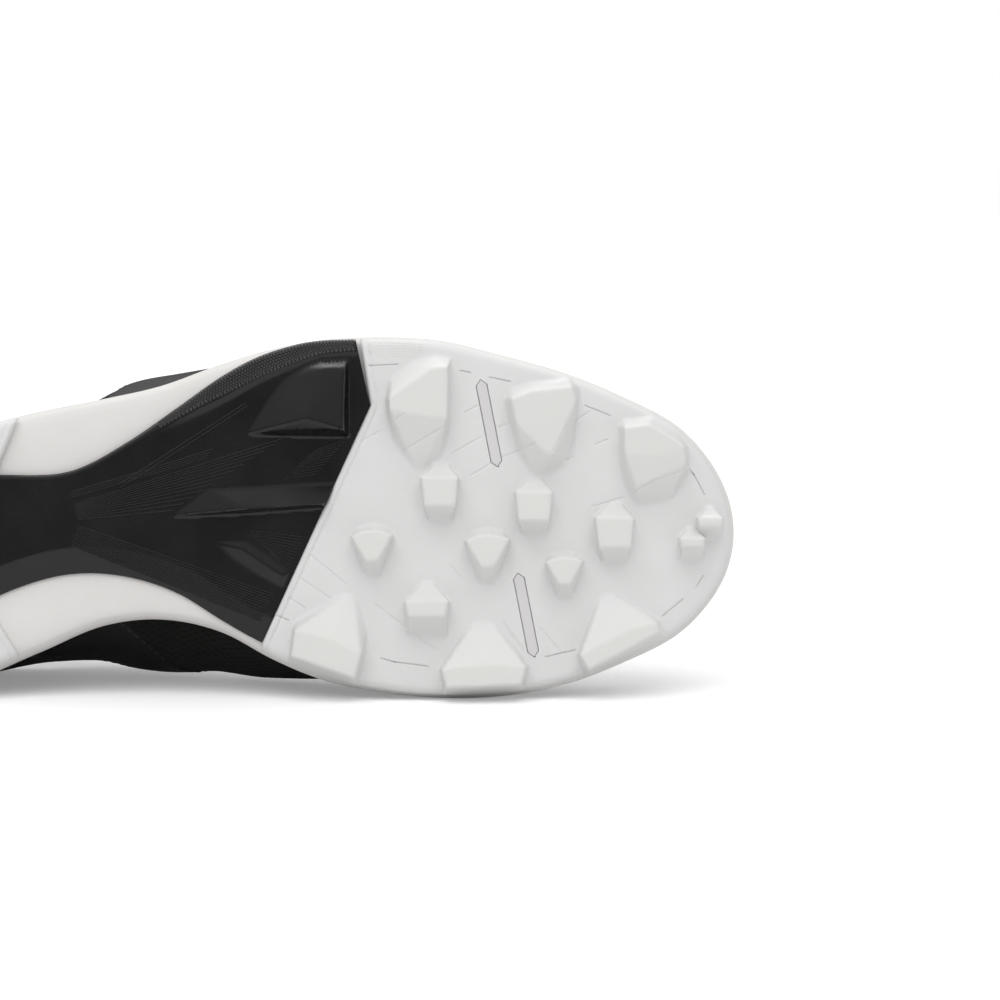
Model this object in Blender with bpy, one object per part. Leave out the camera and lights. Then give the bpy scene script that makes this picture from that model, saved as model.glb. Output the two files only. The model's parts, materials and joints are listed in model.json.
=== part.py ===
"""A right baseball shoe with a studded rubber sole, lying on its medial side as on a floor.

The shoe is modelled standing: X runs from the heel to the toe, +Y is the medial (big toe) side and Z is
up from the plane of the stud tips. All sizes here are millimetres, and meshes are written in metres.
The whole assembly is then turned about its parent empty until the sole's edge and the upper rest on Z = 0.
"""

import math
from collections import namedtuple

import bmesh
import bpy
import numpy as np
from mathutils import Matrix, Vector, geometry

MM = 0.001

# Driving sizes of the shoe
LENGTH = 298.0
OUTSOLE = 3.0
INSOLE = 4.0
WALL = 2.0
TONGUE = 4.0
LACE_WIDTH = 6.0
LACE_THICK = 1.4
GAP = 0.3

MEDIAL, LATERAL = 1, -1

# Plan of the sole's edge at stations from the back of the heel
Edge = namedtuple("Edge", "station medial lateral")
SOLE_EDGE = [
    Edge(0, 15, 15),
    Edge(6, 34, -4),
    Edge(20, 47.8, -17.4),
    Edge(42, 53.4, -23.8),
    Edge(62, 50.2, -27.2),
    Edge(86, 40.2, -33.2),
    Edge(106, 32.0, -38.0),
    Edge(122, 30.3, -41.2),
    Edge(142, 34.6, -47.4),
    Edge(157, 42.6, -51.0),
    Edge(172, 48.8, -53.5),
    Edge(190, 52.6, -54.6),
    Edge(208, 54.3, -53.8),
    Edge(226, 53.9, -50.0),
    Edge(247, 50.0, -44.1),
    Edge(264, 43.6, -37.2),
    Edge(281, 34.8, -28.2),
    Edge(290, 25.8, -18.8),
    Edge(295, 17.6, -10.2),
    Edge(298, 3.8, 3.8),
]

# Side view of the sole: its underside between the studs, and the top of the foam under the foot
Level = namedtuple("Level", "station under footbed")
SOLE_LEVELS = [
    Level(0, 10.6, 36),
    Level(16, 8.7, 34.5),
    Level(34, 8.0, 33),
    Level(60, 8.0, 32.3),
    Level(72, 8.0, 32),
    Level(92, 10.4, 31.2),
    Level(116, 13.0, 29.8),
    Level(140, 12.0, 27.2),
    Level(163, 9.2, 24.4),
    Level(184, 8.0, 22.4),
    Level(196, 8.0, 21.8),
    Level(212, 8.0, 21.3),
    Level(219, 8.0, 21.2),
    Level(240, 9.5, 21.4),
    Level(262, 13.0, 23.0),
    Level(280, 17.4, 26.2),
    Level(298, 23.2, 31.2),
]

# Height of the midsole's side as a share of its thickness, and how far that line lies inside the sole's edge
Side = namedtuple("Side", "share inset")
MIDSOLE_SIDE = [Side(0.0, 2.2), Side(0.22, 0.3), Side(0.5, 0.0), Side(0.8, 1.4), Side(1.0, 3.6)]
OUTSOLE_SIDE = [Side(0.0, 3.0), Side(0.35, 1.3), Side(1.0, 0.9)]

# Joints in the sole: the forefoot plate meets the shank at a chevron, and the heel plate meets it at a
# notch. The shank runs back to its own corners beside the notch.
Corner = namedtuple("Corner", "x y")
FOREFOOT_JOINT = [Corner(183.2, -54), Corner(187, -34.2), Corner(154.4, 36.9), Corner(152.0, 42)]
HEEL_JOINT = [Corner(80, -32), Corner(63, 12), Corner(81, 44)]
SHANK_BACK_MEDIAL, SHANK_BACK_LATERAL = 71.6, 73.6

# Plan of the shank plate between the two joints
SHANK_EDGE = [
    Edge(60, 31, -14),
    Edge(76, 22.5, -13.4),
    Edge(97, 16.6, -15.0),
    Edge(113, 17.6, -22.4),
    Edge(128, 22.5, -31.8),
    Edge(142, 31.0, -41.6),
    Edge(150, 35.6, -46.0),
    Edge(164, 42.0, -51.0),
    Edge(190, 50.0, -53.6),
]

# Lugs of the sole. Heading is the way a lug points in from its outer side, in degrees from +X. Its base goes
# from its width at the outer side over its waist at the shoulder to its nose, and its tip is a flat strip.
Lug = namedtuple("Lug", "x y heading width shoulder waist depth nose tip_from tip_to tip_width height")
FOREFOOT_LUGS = [
    Lug(201.6, -46.0, 86, 20.5, 15.0, 20.0, 29.0, 3, 4.6, 15.0, 14.5, 8),
    Lug(238.6, -38.4, 90, 25.4, 9.0, 24.4, 24.0, 3, 2.4, 9.4, 20.0, 8),
    Lug(270.7, -26.8, 108, 21.0, 8.0, 20.0, 20.5, 3, 2.4, 8.4, 16.0, 8),
    Lug(266.0, 41.0, 246, 22.0, 7.5, 21.0, 15.5, 5, 2.6, 6.6, 18.0, 8),
    Lug(221.0, 52.0, 270, 25.0, 9.0, 24.0, 22.0, 5, 2.8, 7.4, 21.0, 8),
    Lug(171.8, 46.2, 288, 23.0, 9.0, 22.0, 26.0, 4, 2.8, 8.6, 19.0, 8),
]
HEEL_LUGS = [
    Lug(57, 48.6, 262, 20, 8, 19, 17, 5, 2.8, 7.6, 15, 8),
    Lug(57, -24.6, 82, 20, 8, 19, 17, 5, 2.8, 7.6, 15, 8),
    Lug(25, 46.0, 298, 20, 8, 19, 17, 5, 2.8, 7.6, 15, 8),
    Lug(25, -15.6, 58, 20, 8, 19, 17, 5, 2.8, 7.6, 15, 8),
    Lug(3.4, 15.0, 0, 20, 8, 19, 17, 5, 2.8, 7.6, 15, 8),
]
SHANK_LUGS = [
    Lug(171.0, -48.0, 106, 14.0, 20.0, 29.0, 21.6, 27, 15.5, 18.4, 6.0, 7),
    Lug(168.0, -4.2, 176, 10.0, 12.0, 15.0, 42.0, 2, 3.0, 25.0, 1.2, 5),
]

# Studs in the middle of the sole, all alike but for their size. A corner is given first along X, then
# towards the lateral side. The tip narrows to its medial end, and the base runs out to a lateral point.
Stud = namedtuple("Stud", "x y size")
FOREFOOT_STUDS = [
    Stud(208.4, -8.2, 1.0),
    Stud(236.6, -3.6, 1.0),
    Stud(187.8, 8.4, 1.05),
    Stud(222.4, 10.0, 1.1),
    Stud(245.3, 16.0, 0.95),
    Stud(261.0, 3.6, 1.0),
    Stud(204.1, 28.4, 1.12),
    Stud(291.0, 1.6, 0.6),
    Stud(284.4, 8.8, 0.56),
]
HEEL_STUDS = [Stud(41, 14, 1.1)]
STUD_TIP = [Corner(-5.6, 3.0), Corner(5.6, 3.0), Corner(2.6, -3.6), Corner(-2.6, -3.6)]
STUD_BASE = [
    Corner(-1.4, 8.6),
    Corner(1.4, 8.6),
    Corner(7.6, -0.6),
    Corner(4.8, -7.0),
    Corner(-4.8, -7.0),
    Corner(-7.6, -0.6),
]
STUD_HEIGHT = 8.0
LUG_ROOT = 1.2

# Two slim strips let into the forefoot plate across its flex line
Strip = namedtuple("Strip", "name x y turn length width")
FLEX_STRIPS = [
    Strip("flex_strip_lateral", 222.9, -28.7, 79, 27, 3.4),
    Strip("flex_strip_medial", 234.0, 29.4, 79, 26, 3.4),
]
STRIP_DEPTH = 1.2

# The upper, one row for each profile from its lower edge to its top line, going round the foot.
# Lean is the angle of the wall to the vertical at that end, and reach is how firmly the curve follows it.
Profile = namedtuple("Profile", "side station top_x top_y top_z foot_lean foot_reach top_lean top_reach")
UPPER_PROFILES = [
    Profile(MEDIAL, 0, 9, 15, 97, 22, 24, 14, 20),
    Profile(MEDIAL, 20, 24, 37, 93, 16, 22, 8, 18),
    Profile(MEDIAL, 46, 48, 43, 87, 14, 22, 6, 16),
    Profile(MEDIAL, 80, 78, 39, 85, 28, 24, 14, 18),
    Profile(MEDIAL, 113, 112, 24.5, 97, 54, 44, 38, 32),
    Profile(MEDIAL, 145, 140, 17.5, 84, 46, 46, 60, 30),
    Profile(MEDIAL, 190, 168, 10.5, 73, 14, 27, 72, 28),
    Profile(MEDIAL, 235, 188, 6.5, 66.5, 8, 23, 76, 40),
    Profile(MEDIAL, 270, 196, 3.5, 64.3, 6, 21, 79, 47),
    Profile(MEDIAL, 298, 199, -1, 63.5, 8, 23, 79, 53),
    Profile(LATERAL, 270, 196, -5.5, 64.3, 6, 21, 79, 47),
    Profile(LATERAL, 235, 188, -9, 66.2, 8, 23, 76, 40),
    Profile(LATERAL, 190, 168, -12.5, 72.5, 12, 27, 72, 28),
    Profile(LATERAL, 145, 140, -14, 83.5, 26, 36, 58, 30),
    Profile(LATERAL, 113, 112, -15.5, 96, 42, 46, 38, 32),
    Profile(LATERAL, 80, 78, -18, 82, 18, 22, 10, 18),
    Profile(LATERAL, 46, 48, -14, 84.5, 14, 22, 5, 16),
    Profile(LATERAL, 20, 24, -7.5, 92, 16, 22, 8, 18),
]
FEATHER_INSET = 5.2
PLAN_PULL = 25.0
AROUND, UP = 84, 12

# Throat: the tongue's tucked edge as a share of the profile, stations of its ends and eyelets, its free tip
TUCK = 0.10
TONGUE_CLEAR = 1.2
THROAT_FRONT, THROAT_BACK = 197.5, 115.0
THROAT_CROWN = 1.6
Tip = namedtuple("Tip", "back rise width")
TONGUE_TIP = [
    Tip(8, 6, 0.78),
    Tip(14, 14, 0.9),
    Tip(18.5, 23, 0.96),
    Tip(21.5, 30, 0.88),
    Tip(22.5, 33.5, 0.6),
]
EYELETS = [189, 175, 161, 147, 133, 119.5]
EYELET_EDGE = 0.085
LACE_CLEAR = 0.8
LACE_OVER = 0.7

# Colour, roughness of each finish
Finish = namedtuple("Finish", "colour roughness")
FINISHES = {
    "white_rubber": Finish((0.80, 0.80, 0.79), 0.45),
    "black_rubber": Finish((0.018, 0.018, 0.019), 0.42),
    "white_foam": Finish((0.82, 0.80, 0.79), 0.6),
    "black_textile": Finish((0.016, 0.016, 0.017), 0.85),
    "dark_lining": Finish((0.03, 0.03, 0.032), 0.9),
}


# Curves and plan shapes


def smooth(knots, values, at):
    """A cubic curve through values at the knots, read at the places in at."""
    knots, values, at = np.asarray(knots, float), np.asarray(values, float), np.asarray(at, float)
    slopes = np.gradient(values, knots, axis=0)
    k = np.clip(np.searchsorted(knots, at) - 1, 0, len(knots) - 2)
    span = knots[k + 1] - knots[k]
    t = (at - knots[k]) / span
    if values.ndim > 1:
        span, t = span[..., None], t[..., None]
    ends = values[k] * (1 + 2 * t) * (1 - t) ** 2 + values[k + 1] * t**2 * (3 - 2 * t)
    return ends + span * (slopes[k] * t * (1 - t) ** 2 + slopes[k + 1] * t**2 * (t - 1))


def smooth_ring(knots, values, at):
    """The same curve on a ring, whose places run from 0 to 1 and start again."""
    knots, values = np.asarray(knots, float), np.asarray(values, float)
    lap = np.concatenate([knots - 1, knots, knots + 1])
    return smooth(lap, np.concatenate([values, values, values]), np.mod(at, 1.0))


def station_angle(station):
    """Stations are spread by this angle, 0 at the heel and pi at the toe, so that both ends are round."""
    return np.arccos(np.clip(1 - 2 * np.asarray(station, float) / LENGTH, -1, 1))


def ring_place(side, station):
    """Place on the ring round the shoe: 0 at the heel, up the medial side to 0.5 at the toe, and back."""
    share = station_angle(station) / (2 * math.pi)
    return share if side == MEDIAL else 1 - share


def edge_y(side, angle):
    knots = station_angle([row.station for row in SOLE_EDGE])
    column = [row.medial if side == MEDIAL else row.lateral for row in SOLE_EDGE]
    return smooth(knots, column, angle)


def edge_points(side, angle, inset):
    """Plan points of one side of the sole at these angles, moved in from its edge by inset."""
    angle = np.asarray(angle, float)
    step = 1e-3
    before, after = np.clip(angle - step, 0, math.pi), np.clip(angle + step, 0, math.pi)
    run = (np.cos(before) - np.cos(after)) * LENGTH / 2
    swing = edge_y(side, after) - edge_y(side, before)
    inward = side * np.stack([swing, -run], -1)
    inward /= np.linalg.norm(inward, axis=-1, keepdims=True)
    return np.stack([LENGTH / 2 * (1 - np.cos(angle)), edge_y(side, angle)], -1) + inset * inward


def edge_run(side, start, end, count, inset):
    """Plan points along one side of the sole from station to station."""
    return edge_points(side, np.linspace(station_angle(start), station_angle(end), count), inset)


def sole_loop(inset, count=AROUND):
    """The closed outline of the sole, from the heel up the medial side to the toe and back."""
    half = count // 2 + 1
    medial = edge_run(MEDIAL, 0, LENGTH, half, inset)
    lateral = edge_run(LATERAL, LENGTH, 0, half, inset)
    return np.concatenate([medial, lateral[1:-1]])


def sole_level(column, x):
    knots = [row.station for row in SOLE_LEVELS]
    return smooth(knots, [getattr(row, column) for row in SOLE_LEVELS], np.clip(x, 0, LENGTH))


def under(x):
    return sole_level("under", x)


def footbed(x):
    return sole_level("footbed", x)


def midsole_floor(x):
    return under(x) + OUTSOLE + GAP


def shifted(corners, shift):
    """A joint line moved along X, as an array of plan points."""
    return np.array(corners, float) + [shift, 0]


def divided(corners, longest=11.0):
    """Plan points along straight runs between corners, none further apart than longest."""
    points = [corners[0]]
    for start, end in zip(corners, corners[1:]):
        pieces = max(1, math.ceil(np.linalg.norm(end - start) / longest))
        points += [start + (end - start) * i / pieces for i in range(1, pieces + 1)]
    return np.array(points)


# Solids


def finish(name):
    made = bpy.data.materials.get(name)
    if made is None:
        made = bpy.data.materials.new(name)
        made.use_nodes = True
        shader = made.node_tree.nodes["Principled BSDF"]
        shader.inputs["Base Color"].default_value = (*FINISHES[name].colour, 1)
        shader.inputs["Roughness"].default_value = FINISHES[name].roughness
        shader.inputs["Metallic"].default_value = 0.0
    return made


def new_object(name, mesh_points, faces, finish_name, parent, smooth_angle=40):
    """An object with its faces pointing out, from points in millimetres."""
    mesh = bpy.data.meshes.new(name)
    mesh.from_pydata((np.asarray(mesh_points) * MM).tolist(), [], faces)
    work = bmesh.new()
    work.from_mesh(mesh)
    bmesh.ops.remove_doubles(work, verts=work.verts, dist=1e-6)
    bmesh.ops.recalc_face_normals(work, faces=work.faces)
    work.to_mesh(mesh)
    work.free()
    mesh.shade_smooth()
    mesh.set_sharp_from_angle(angle=math.radians(smooth_angle))
    made = bpy.data.objects.new(name, mesh)
    bpy.context.scene.collection.objects.link(made)
    made.parent = parent
    if finish_name:
        mesh.materials.append(finish(finish_name))
    else:
        made.hide_render = True
        made.display_type = "WIRE"
    return made


def inner_points(loop, step):
    """Points of a square grid that lie inside a plan loop and well away from it."""
    low, high = loop.min(0), loop.max(0)
    x, y = np.meshgrid(np.arange(low[0], high[0], step), np.arange(low[1], high[1], step))
    grid = np.stack([x.ravel(), y.ravel()], 1)
    start, end = loop, np.roll(loop, -1, axis=0)
    span = end - start
    crosses = (start[:, 1] > grid[:, None, 1]) != (end[:, 1] > grid[:, None, 1])
    lift = np.where(span[:, 1] == 0, 1e-9, span[:, 1])
    at_x = start[:, 0] + (grid[:, None, 1] - start[:, 1]) / lift * span[:, 0]
    inside = (crosses & (grid[:, None, 0] < at_x)).sum(1) % 2 == 1
    offset = grid[:, None] - start
    share = np.clip((offset * span).sum(2) / (span**2).sum(1), 0, 1)
    away = np.linalg.norm(offset - share[..., None] * span, axis=2).min(1)
    return grid[inside & (away > 0.45 * step)]


def stacked_solid(name, loops, floor, roof, step, finish_name, parent):
    """A closed solid between level loops of equal count, with a floor and a roof at their own heights."""
    loops = [np.asarray(loop, float) for loop in loops]
    count = len(loops[0])
    points = list(np.concatenate(loops))
    faces = []
    for level in range(len(loops) - 1):
        for i in range(count):
            j = (i + 1) % count
            low, high = level * count, (level + 1) * count
            faces.append((low + i, low + j, high + j, high + i))
    for loop, first, height in ((loops[0], 0, floor), (loops[-1], (len(loops) - 1) * count, roof)):
        plan = loop[:, :2]
        inner = inner_points(plan, step)
        corners = [Vector(p) for p in np.concatenate([plan, inner])]
        filled = geometry.delaunay_2d_cdt(corners, [], [list(range(count))], 1, 1e-6)
        index = [source[0] for source in filled[3]]
        place = [first + i for i in range(count)] + [len(points) + i for i in range(len(inner))]
        points += [(*p, height(p[0])) for p in inner]
        faces += [tuple(place[index[corner]] for corner in face) for face in filled[2]]
    return new_object(name, points, faces, finish_name, parent)


def sheet_solid(name, grid, thickness, ring, finish_name, parent):
    """A closed solid from a sheet of points, thickened against its own normal. A ring closes on itself."""
    rows = np.concatenate([grid[-1:], grid, grid[:1]]) if ring else grid
    along = np.gradient(rows, axis=0)[1:-1] if ring else np.gradient(rows, axis=0)
    across = np.gradient(grid, axis=1)
    normal = np.cross(across, along)
    normal /= np.linalg.norm(normal, axis=2, keepdims=True)
    n, m = grid.shape[:2]
    points = np.concatenate([grid.reshape(-1, 3), (grid - thickness * normal).reshape(-1, 3)])
    outer = np.arange(n * m).reshape(n, m)
    inner = outer + n * m
    faces = []
    for i in range(n if ring else n - 1):
        k = (i + 1) % n
        for j in range(m - 1):
            faces.append((outer[i, j], outer[k, j], outer[k, j + 1], outer[i, j + 1]))
            faces.append((inner[i, j], inner[i, j + 1], inner[k, j + 1], inner[k, j]))
        faces.append((outer[i, 0], inner[i, 0], inner[k, 0], outer[k, 0]))
        faces.append((outer[i, -1], outer[k, -1], inner[k, -1], inner[i, -1]))
    if not ring:
        for j in range(m - 1):
            faces.append((outer[0, j], outer[0, j + 1], inner[0, j + 1], inner[0, j]))
            faces.append((outer[-1, j], inner[-1, j], inner[-1, j + 1], outer[-1, j + 1]))
    return new_object(name, points, [tuple(map(int, f)) for f in faces], finish_name, parent)


def boolean(target, operation, tool):
    change = target.modifiers.new(tool.name, "BOOLEAN")
    change.operation = operation
    change.object = tool
    change.solver = "EXACT"


# Sole


def lug_corners(lug):
    """Plan corners of a lug's base and of its tip."""
    heading = math.radians(lug.heading)
    inward = np.array([math.cos(heading), math.sin(heading)])
    aside = np.array([-inward[1], inward[0]])

    def spread(rows):
        place = np.array([lug.x, lug.y])
        return [place + a * inward + side * b / 2 * aside for a, b in rows for side in (-1, 1)]

    base = spread([(0, lug.width), (lug.shoulder, lug.waist), (lug.depth, lug.nose)])
    return base, spread([(lug.tip_from, lug.tip_width), (lug.tip_to, lug.tip_width)])


def stud_corners(stud):
    """Plan corners of a stud's base and of its tip."""
    place = np.array([stud.x, stud.y])
    turned = [[place + stud.size * np.array([c.x, -c.y]) for c in ring] for ring in (STUD_BASE, STUD_TIP)]
    return turned[0], turned[1]


def lug_cluster(name, lugs, studs, parent):
    """All lugs of one plate, each the hull of its base, buried in the plate, and its flat tip."""
    shapes = [(*lug_corners(lug), lug.height) for lug in lugs]
    shapes += [(*stud_corners(stud), STUD_HEIGHT) for stud in studs]
    points, faces = [], []
    for base, tip, height in shapes:
        work = bmesh.new()
        for plan, drop in [(p, LUG_ROOT) for p in base] + [(p, -height) for p in tip]:
            work.verts.new((*plan, float(under(plan[0])) + drop))
        hull = bmesh.ops.convex_hull(work, input=work.verts)
        bmesh.ops.delete(work, geom=[v for v in hull["geom_interior"] if v.is_valid], context="VERTS")
        first = len(points)
        work.verts.index_update()
        points += [tuple(v.co) for v in work.verts]
        faces += [tuple(first + v.index for v in face.verts) for face in work.faces]
        work.free()
    return new_object(name, points, faces, None, parent)


def plate(name, plan_at, lugs, studs, finish_name, parent):
    """An outsole plate with its lugs. plan_at gives its outline for an inset from the sole's edge."""
    loops = []
    for side in OUTSOLE_SIDE:
        plan = plan_at(side.inset)
        loops.append(np.column_stack([plan, under(plan[:, 0]) + side.share * OUTSOLE]))
    made = stacked_solid(name, loops, under, lambda x: under(x) + OUTSOLE, 10.0, finish_name, parent)
    if lugs or studs:
        boolean(made, "UNION", lug_cluster(name + "_lugs", lugs, studs, parent))
    return made


def forefoot_plan(inset):
    joint = shifted(FOREFOOT_JOINT, GAP / 2)
    medial = edge_run(MEDIAL, joint[-1][0] + inset, LENGTH, 24, inset)
    lateral = edge_run(LATERAL, LENGTH, joint[0][0] + inset / 2, 20, inset)
    return np.concatenate([medial, lateral[1:], divided(joint[1:-1])])


def heel_plan(inset):
    joint = shifted(HEEL_JOINT, -GAP / 2)
    medial = edge_run(MEDIAL, 0, joint[-1][0], 14, inset)
    lateral = edge_run(LATERAL, joint[0][0], 0, 14, inset)
    return np.concatenate([medial, divided(joint[::-1])[1:-1], lateral[:-1]])


def shank_side(column, start, end, count):
    stations = np.linspace(start, end, count)
    knots = [row.station for row in SHANK_EDGE]
    return np.column_stack([stations, smooth(knots, [getattr(row, column) for row in SHANK_EDGE], stations)])


def shank_plan(inset):
    """The shank lies inside its own edge, and its ends follow the two joints."""
    front = shifted(FOREFOOT_JOINT, -GAP / 2)
    back = shifted(HEEL_JOINT, GAP / 2)
    shrink = max(0.0, inset - OUTSOLE_SIDE[-1].inset)
    medial = shank_side("medial", SHANK_BACK_MEDIAL, front[2][0] - 0.4, 10) - [0, shrink]
    lateral = shank_side("lateral", front[0][0] - 0.6, SHANK_BACK_LATERAL, 12) + [0, shrink]
    return np.concatenate([medial, divided(front[2:0:-1]), lateral, back[1:-1]])


def strip_corners(strip, clearance):
    """Plan corners of a slim strip with pointed ends, smaller all round by clearance."""
    turn = math.radians(strip.turn)
    ahead = np.array([math.cos(turn), math.sin(turn)])
    aside = np.array([-ahead[1], ahead[0]])
    half, wide = strip.length / 2 - clearance, strip.width / 2 - clearance
    quarter = [(half, 0), (half - wide, wide), (-half + wide, wide)]
    local = quarter + [(-a, -b) for a, b in quarter]
    return [np.array([strip.x, strip.y]) + a * ahead + b * aside for a, b in local]


def strip_solid(name, strip, clearance, bottom, top, finish_name, parent):
    corners = strip_corners(strip, clearance)
    points = [(*p, float(under(p[0])) + z) for z in (bottom, top) for p in corners]
    count = len(corners)
    faces = [tuple(range(count)), tuple(range(count, 2 * count))]
    faces += [(i, (i + 1) % count, count + (i + 1) % count, count + i) for i in range(count)]
    return new_object(name, points, faces, finish_name, parent)


def build_sole(parent):
    lugs, studs = FOREFOOT_LUGS, FOREFOOT_STUDS
    forefoot = plate("outsole_forefoot", forefoot_plan, lugs, studs, "white_rubber", parent)
    for strip in FLEX_STRIPS:
        slot = strip_solid(strip.name + "_slot", strip, 0, -LUG_ROOT, STRIP_DEPTH, None, parent)
        boolean(forefoot, "DIFFERENCE", slot)
        strip_solid(strip.name, strip, GAP, 0, STRIP_DEPTH - GAP, "white_foam", parent)
    plate("outsole_shank", shank_plan, SHANK_LUGS, [], "black_rubber", parent)
    plate("outsole_heel", heel_plan, HEEL_LUGS, HEEL_STUDS, "white_rubber", parent)

    loops = []
    for side in MIDSOLE_SIDE:
        plan = sole_loop(side.inset)
        low, high = midsole_floor(plan[:, 0]), footbed(plan[:, 0])
        loops.append(np.column_stack([plan, low + side.share * (high - low)]))
    stacked_solid("midsole", loops, midsole_floor, footbed, 11.0, "white_foam", parent)


def build_insole(parent):
    plan = sole_loop(FEATHER_INSET + WALL + 3 * GAP, 64)

    def floor(x):
        return footbed(x) + GAP

    def roof(x):
        return floor(x) + INSOLE

    loops = [np.column_stack([plan, height(plan[:, 0])]) for height in (floor, roof)]
    stacked_solid("insole", loops, floor, roof, 16.0, "dark_lining", parent)


# Upper


def upper_points(place, height):
    """Points of the upper's outer face. Place runs round the shoe, height from lower edge to top line."""
    place, height = np.broadcast_arrays(np.asarray(place, float), np.asarray(height, float))
    knots = [ring_place(row.side, row.station) for row in UPPER_PROFILES]
    place = np.mod(place, 1.0)
    angle = 2 * math.pi * np.minimum(place, 1 - place)
    foot = np.empty(place.shape + (3,))
    outward = np.empty(place.shape + (2,))
    for side in (MEDIAL, LATERAL):
        here = (place <= 0.5) if side == MEDIAL else (place > 0.5)
        foot[here, :2] = edge_points(side, angle[here], FEATHER_INSET)
        outward[here] = (edge_points(side, angle[here], 0) - foot[here, :2]) / FEATHER_INSET
    foot[..., 2] = footbed(foot[..., 0]) + GAP

    def column(*names):
        table = [[getattr(row, name) for name in names] for row in UPPER_PROFILES]
        return smooth_ring(knots, table, place)

    top = column("top_x", "top_y", "top_z")
    lean = np.radians(column("foot_lean", "top_lean"))
    reach = column("foot_reach", "top_reach")
    pull = foot[..., :2] - top[..., :2] + PLAN_PULL * outward
    pull /= np.linalg.norm(pull, axis=-1, keepdims=True)

    def handle(plan_way, angle_to_vertical, length, sign):
        flat = plan_way * np.sin(angle_to_vertical)[..., None]
        rise = sign * np.cos(angle_to_vertical)[..., None]
        return np.concatenate([flat, rise], -1) * length[..., None]

    low = foot + handle(outward, lean[..., 0], reach[..., 0], 1)
    high = top + handle(pull, lean[..., 1], reach[..., 1], -1)
    t = height[..., None]
    return foot * (1 - t) ** 3 + 3 * low * t * (1 - t) ** 2 + 3 * high * t**2 * (1 - t) + top * t**3


def throat_places(station):
    """Ring places of the medial and lateral edges of the throat at these stations."""
    found = []
    for start in (ring_place(MEDIAL, 106), ring_place(LATERAL, 106)):
        place = np.linspace(start, 0.5, 200)
        found.append(np.interp(station, upper_points(place, 1.0)[:, 0], place))
    return found


def below(place, height, depth):
    """A point under the upper's outer face, depth along its normal."""
    step = 1e-3
    across = upper_points(place, height + step) - upper_points(place, height - step)
    along = upper_points(place + step, height) - upper_points(place - step, height)
    normal = np.cross(across, along)
    return upper_points(place, height) - depth * normal / np.linalg.norm(normal, axis=-1, keepdims=True)


def throat_rows(station, depth, edge):
    """Rows of points across the throat, one for each station, from under one eyestay to the other."""
    medial, lateral = throat_places(np.asarray(station, float))
    heights = [1 - edge, 1 - edge / 2, 1.0]
    left = [below(medial, h, depth) for h in heights]
    right = [below(lateral, h, depth) for h in heights]
    middle = []
    for share in (0.25, 0.5, 0.75):
        rise = THROAT_CROWN * 4 * share * (1 - share)
        middle.append(left[-1] * (1 - share) + right[-1] * share + [0, 0, rise])
    return np.stack(left + middle + right[::-1], axis=1)


def build_upper(parent):
    place, height = np.meshgrid(np.arange(AROUND) / AROUND, np.linspace(0, 1, UP), indexing="ij")
    sheet_solid("upper", upper_points(place, height), WALL, True, "black_textile", parent)


def build_tongue(parent):
    rows = list(throat_rows(np.linspace(THROAT_FRONT, THROAT_BACK, 10), WALL + TONGUE_CLEAR, TUCK))
    last = rows[-1]
    centre = last.mean(0)
    for tip in TONGUE_TIP:
        spread = (last - centre) * [1, tip.width, 1]
        rows.append(centre + spread + [-tip.back, 0, tip.rise])
    sheet_solid("tongue", np.array(rows)[::-1], TONGUE, False, "black_textile", parent)


def lace_ribbon(name, start, end, lift, parent):
    """A flat lace from the medial eyelet row at start to the lateral one at end, over the throat."""
    across = np.arange(9)
    columns = []
    for edge in (-LACE_WIDTH / 2, LACE_WIDTH / 2):
        station = start + (end - start) * across / 8 + edge
        columns.append(throat_rows(station, -(LACE_CLEAR + LACE_THICK + lift), EYELET_EDGE)[across, across])
    return sheet_solid(name, np.array(columns), LACE_THICK, False, None, parent)


def build_lace(parent):
    """One flat lace laid criss-cross over the throat, with its crossings joined."""
    lace = lace_ribbon("lace", EYELETS[0] + 1, EYELETS[0] + 1, 0, parent)
    lace.data.materials.append(finish("black_textile"))
    lace.hide_render = False
    lace.display_type = "TEXTURED"
    for low, high in zip(EYELETS, EYELETS[1:]):
        boolean(lace, "UNION", lace_ribbon(f"lace_rising_{low}", low, high, LACE_OVER, parent))
        boolean(lace, "UNION", lace_ribbon(f"lace_falling_{low}", high, low, 0, parent))


# Rest on the floor


def world_points(names):
    graph = bpy.context.evaluated_depsgraph_get()
    found = []
    for name in names:
        mesh = bpy.data.objects[name].evaluated_get(graph).to_mesh()
        points = np.empty(len(mesh.vertices) * 3, np.float32)
        mesh.vertices.foreach_get("co", points)
        found.append(points.reshape(-1, 3).astype(float))
    return np.concatenate(found)


def floor_normal():
    """The way down, in the standing shoe, when its medial side lies on the floor.

    It touches at three places: the sole's edge at the ball and at the heel, and the upper."""
    sole = world_points(["midsole", "outsole_forefoot", "outsole_heel"])
    middle = LENGTH / 2 * MM
    places = [sole[sole[:, 0] > middle], sole[sole[:, 0] < middle], world_points(["upper"])]
    down = np.array([0.0, 1.0, 0.0])
    for _ in range(20):
        ball, heel, quarter = (points[np.argmax(points @ down)] for points in places)
        normal = np.cross(heel - ball, quarter - ball)
        down = normal / np.linalg.norm(normal) * np.sign(normal[1])
    return Vector(down)


def lie_on_side(shoe, names):
    """Turns the shoe until the floor is level under it, with its toe to +X and its box over the origin."""
    up = -floor_normal()
    ahead = Vector((1, 0, 0))
    ahead = (ahead - up * ahead.dot(up)).normalized()
    aside = up.cross(ahead)
    turn = Matrix((ahead, aside, up))
    points = world_points(names) @ np.array(turn).T
    low, high = points.min(0), points.max(0)
    shoe.rotation_euler = turn.to_euler()
    shoe.location = (-(low[0] + high[0]) / 2, -(low[1] + high[1]) / 2, -low[2])


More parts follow.
